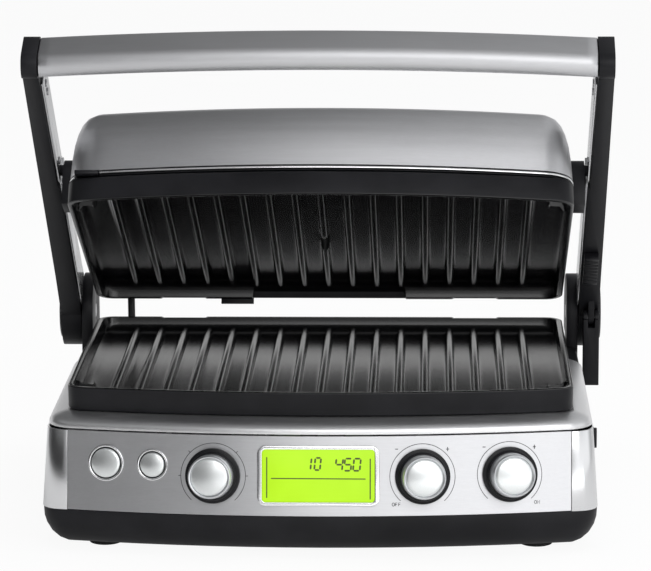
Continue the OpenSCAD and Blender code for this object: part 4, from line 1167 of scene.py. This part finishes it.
class GRILL_OT_display(bpy.types.Operator):
    """Makes the display's bezel, lit window and segments"""
    bl_idname = "grill.display"
    bl_label = "Display"

    def execute(self, context):
        carry_over("base", (("display_bezel", 0.35, "chrome"),), 3)
        carry_over("base", (("display_lens", 0.12, "window"),))
        bars = []
        for sign, x, y, wide in READOUT:
            for key in DIGITS[sign]:
                ends = [
                    (x + px * wide + py * DIGIT_H * DIGIT_SLOPE, y + py * DIGIT_H)
                    for px, py in SEGMENTS[key]]
                bars.append(segment_bar(*ends, DIGIT_THICK))
        bars.append(ribbon(arc(29.7, 10.6, 0.6, 0, 360, 12), 0.4, SEGMENT_Z, True))
        bars += [segment_bar(*rule) for rule in RULES]
        marks = place(joined("display_segments", bars), control_place(0.0, WINDOW_S))
        dress(marks, "base", "segments")
        return {"FINISHED"}


# The bar's half length, the radius and half height of its rounded section, the lean of
# that section, and how far its middle stands forward
BAR_END, BAR_R, BAR_FLAT, BAR_LEAN, BAR_BOW = 180.7, 8.46, 8.5, math.radians(23.0), 8.5
BAR_EDGE, BAR_EDGE_R = 0.7, 7.7


def bar_ring(x, r=BAR_R, turns=40):
    """Ring of the handle bar's rounded section at x."""
    along = Vector((0.0, math.cos(BAR_LEAN), math.sin(BAR_LEAN)))
    across = Vector((0.0, -math.sin(BAR_LEAN), math.cos(BAR_LEAN)))
    centre = GRIP + ARM_DIR * BAR_BOW * (1 - (x / 181.0) ** 2)
    ring = []
    for k in range(turns):
        a = 2 * math.pi * k / turns
        turn = math.cos(a)
        shift = math.copysign(BAR_FLAT, turn) if abs(turn) > 0.001 else 0.0
        p = centre + along * (shift + r * turn) + across * (r * math.sin(a))
        ring.append((x, p.y, p.z))
    return ring


class GRILL_OT_handle(bpy.types.Operator):
    """Makes the bowed handle bar"""
    bl_idname = "grill.handle"
    bl_label = "Handle"

    def execute(self, context):
        inner = BAR_END - BAR_EDGE
        stations = [-inner] + [BAR_END * (k / 24 - 1) for k in range(1, 48)] + [inner]
        rings = [bar_ring(-BAR_END, BAR_EDGE_R)] + [bar_ring(x) for x in stations]
        rings.append(bar_ring(BAR_END, BAR_EDGE_R))
        bar = brush_along_x(soften(loft("handle_tube", rings), 45.0))
        dress(bar, "arms", "handle_steel", "handle_bar")
        return {"FINISHED"}


class GRILL_OT_arms(bpy.types.Operator):
    """Makes both arms, their linings, discs, pins, lever and slider"""
    bl_idname = "grill.arms"
    bl_label = "Arms"

    def execute(self, context):
        carry_over("arms", (
            ("left_arm", 1.0, "plastic"), ("right_arm", 1.0, "plastic"),
            ("left_arm_cover", 0.3, "polished"), ("right_arm_cover", 0.3, "polished"),
            ("arm_screws", 0.25, "screw"), ("hinge_discs", 0.5, "smooth_plastic"),
            ("pivot_pins", 0.3, "pin"), ("lever_pin", 0.3, "pin"),
        ), 3)
        carry_over("lever", (("flat_lever", 0.8, "plastic"),), 3)
        carry_over("slider", (("height_slider", 0.5, "smooth_plastic"),))
        return {"FINISHED"}


class GRILL_OT_inside(bpy.types.Operator):
    """Gives the heating parts and the chassis their finishes"""
    bl_idname = "grill.inside"
    bl_label = "Inside parts"

    def execute(self, context):
        carry_over("base", (("chassis_pan", 0.25, "sheet"),))
        for body, side in (("base", "lower"), ("lid", "upper")):
            carry_over(body, (
                (side + "_reflector", 0.25, "reflector"), (side + "_element", 0.25, "tube"),
                (side + "_thermostat", 0.25, "probe"),
            ))
        return {"FINISHED"}


# The conduit's side, its radius, and its path from the hinge's y and the rim's z
CONDUIT_X, CONDUIT_R = -145.0, 2.6
CONDUIT_PATH = ((-2, -19.6), (-1, -8), (-1, 4), (-2.6, 14), (-6.2, 23), (-11, 30))


def curve_through(path, count):
    """Points on a smooth curve through all points of a path."""
    ends = [path[0], *path, path[-1]]
    for k in range(count + 1):
        t = k / count * (len(path) - 1)
        i = min(int(t), len(path) - 2)
        u = t - i
        yield tuple(
            0.5 * (2 * b + (c - a) * u + (2 * a - 5 * b + 4 * c - d) * u * u
                   + (3 * b - a - 3 * c + d) * u ** 3)
            for a, b, c, d in zip(*ends[i:i + 4]))


class GRILL_OT_conduit(bpy.types.Operator):
    """Makes the braided wire conduit from the base to the lid"""
    bl_idname = "grill.conduit"
    bl_label = "Wire conduit"

    def execute(self, context):
        path = [(HINGE.y + y, RIM + z) for y, z in CONDUIT_PATH]
        fine = list(curve_through(path, 40))
        rings = []
        for k, (y, z) in enumerate(fine):
            a, b = fine[max(k - 1, 0)], fine[min(k + 1, len(fine) - 1)]
            d = Vector((b[0] - a[0], b[1] - a[1])).normalized() * CONDUIT_R
            rings.append([
                (CONDUIT_X + CONDUIT_R * math.sin(t), y - d.y * math.cos(t),
                 z + d.x * math.cos(t))
                for t in (2 * math.pi * i / 20 for i in range(20))
            ])
        tube = soften(loft("conduit_sleeve", rings), 60.0)
        tube.data.materials.append(finish("braid"))
        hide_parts("wire_conduit")
        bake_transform(tube)
        return {"FINISHED"}


# Place, aim and size of the lights, in metres
LIGHTS = {
    "window_softbox": ((0.6, -2.15, 1.35), (0.0, 0.0, 0.15), (1.9, 1.0)),
    "low_softbox": ((0.3, -0.7, 0.03), (0.05, 0.08, 0.22), (0.9, 0.12)),
    "top_softbox": ((0.2, -0.2, 1.9), (0.0, 0.0, 0.1), (1.8, 1.4)),
}
EYE = Vector((73.0, PLATE_Y - 2254.0, RIM + 515.0)) * MM
EYE_PITCH, EYE_YAW, EYE_ROLL = (math.radians(a) for a in (11.2, 1.75, -0.23))


def soft_light(name, power):
    at, aim, size = LIGHTS[name]
    lamp = bpy.data.lights.new(name, "AREA")
    lamp.shape = "RECTANGLE"
    lamp.size, lamp.size_y = size
    lamp.energy = power
    holder = add_piece(name, lamp)
    holder.location = at
    holder.rotation_euler = (Vector(aim) - Vector(at)).to_track_quat("-Z", "Y").to_euler()
    return holder


class GRILL_OT_stage(bpy.types.Operator):
    """Sets the floor, the studio light and the camera"""
    bl_idname = "grill.stage"
    bl_label = "Stage"

    def execute(self, context):
        scene = context.scene
        settings = scene.grill_stage
        scene.view_settings.view_transform = "Standard"
        floor = lathe("studio_floor", ((6000.0, -20.0), (6000.0, 0.0), (10.0, 0.0)), 48)
        floor.data.materials.append(finish("floor"))
        soft_light("window_softbox", settings.key_power)
        soft_light("low_softbox", settings.low_power).visible_camera = False
        soft_light("top_softbox", settings.fill_power).visible_glossy = False
        self.world(scene, settings)
        self.camera(scene, settings)
        return {"FINISHED"}

    def world(self, scene, settings):
        """White backdrop behind the grill, and a softer room before it, darker on the left."""
        world = bpy.data.worlds.new("studio")
        scene.world = world
        w = Wiring(world)
        way = w.node("ShaderNodeTexCoord")
        parts = w.node("ShaderNodeSeparateXYZ", inputs={0: w.value(way, "Generated")})
        x, y, z = (w.value(parts, name) for name in "XYZ")
        low = w.fade(x, -0.45, 0.42, 0.03, 1.2)
        middle = w.fade(x, -0.5, 0.15, 0.35, 0.8)
        ceiling = w.fade(x, -0.3, 0.5, 0.14, 0.6)
        rise = w.fade(z, 0.2, 0.6)
        close = w.fade(z, 0.72, 0.95)
        room = (low * (1 - rise) + middle * rise) * (1 - close) + ceiling * close
        back = w.fade(y, -0.1, 0.35)
        lit = w.node("ShaderNodeBackground", inputs={
            "Color": (0.98, 0.99, 1.0, 1.0),
            "Strength": (room * (1 - back) + ceiling * back) * settings.world_level})
        white = w.node("ShaderNodeBackground", inputs={
            "Color": (1.0, 1.0, 1.0, 1.0), "Strength": 1.0})
        camera, glossy, through = w.rays(
            "Is Camera Ray", "Is Glossy Ray", "Is Transmission Ray")
        behind = w.fade(y, 0.45, 0.75) * w.fade(z, 0.2, 0.4, 1.0, 0.0)
        pick = w.node("ShaderNodeMixShader", inputs={
            0: camera + through + glossy * behind, 1: w.value(lit), 2: w.value(white)})
        w.node("ShaderNodeOutputWorld", inputs={"Surface": w.value(pick)})

    def camera(self, scene, settings):
        lens = bpy.data.cameras.new("front_camera")
        lens.sensor_fit = "HORIZONTAL"
        lens.sensor_width = 36.0
        lens.lens = settings.lens
        lens.clip_start, lens.clip_end = 0.05, 50.0
        eye = add_piece("front_camera", lens)
        flat = Vector((-math.sin(EYE_YAW), math.cos(EYE_YAW), 0.0)) * math.cos(EYE_PITCH)
        forward = flat - Vector((0.0, 0.0, math.sin(EYE_PITCH)))
        right = Vector((math.cos(EYE_YAW), math.sin(EYE_YAW), 0.0))
        up = right.cross(forward)
        across = right * math.cos(EYE_ROLL) + up * math.sin(EYE_ROLL)
        upward = up * math.cos(EYE_ROLL) - right * math.sin(EYE_ROLL)
        turn = Matrix((across, upward, -forward)).transposed().to_4x4()
        eye.matrix_world = Matrix.Translation(EYE) @ turn
        scene.camera = eye


class GRILL_PT_sidebar(bpy.types.Panel):
    """Lists the steps that dress the grill"""
    bl_idname = "GRILL_PT_sidebar"
    bl_label = "Grill"
    bl_space_type = "VIEW_3D"
    bl_region_type = "UI"
    bl_category = "Grill"

    def draw(self, context):
        for step in STEPS:
            self.layout.operator(step.bl_idname)


STEPS = (
    GRILL_OT_plates, GRILL_OT_lid, GRILL_OT_base, GRILL_OT_panel, GRILL_OT_controls,
    GRILL_OT_print, GRILL_OT_display, GRILL_OT_handle, GRILL_OT_arms, GRILL_OT_inside,
    GRILL_OT_conduit, GRILL_OT_stage,
)
CLASSES = (GrillSizes, GrillColours, GrillStage) + STEPS + (GRILL_PT_sidebar,)


def register():
    for part in CLASSES:
        bpy.utils.register_class(part)
    bpy.types.Scene.grill_sizes = bpy.props.PointerProperty(type=GrillSizes)
    bpy.types.Scene.grill_colours = bpy.props.PointerProperty(type=GrillColours)
    bpy.types.Scene.grill_stage = bpy.props.PointerProperty(type=GrillStage)


def unregister():
    for name in ("grill_sizes", "grill_colours", "grill_stage"):
        delattr(bpy.types.Scene, name)
    for part in reversed(CLASSES):
        bpy.utils.unregister_class(part)


def main():
    register()
    for step in STEPS:
        group, name = step.bl_idname.split(".")
        getattr(getattr(bpy.ops, group), name)()
    bpy.context.view_layer.update()


if __name__ == "__main__":
    main()
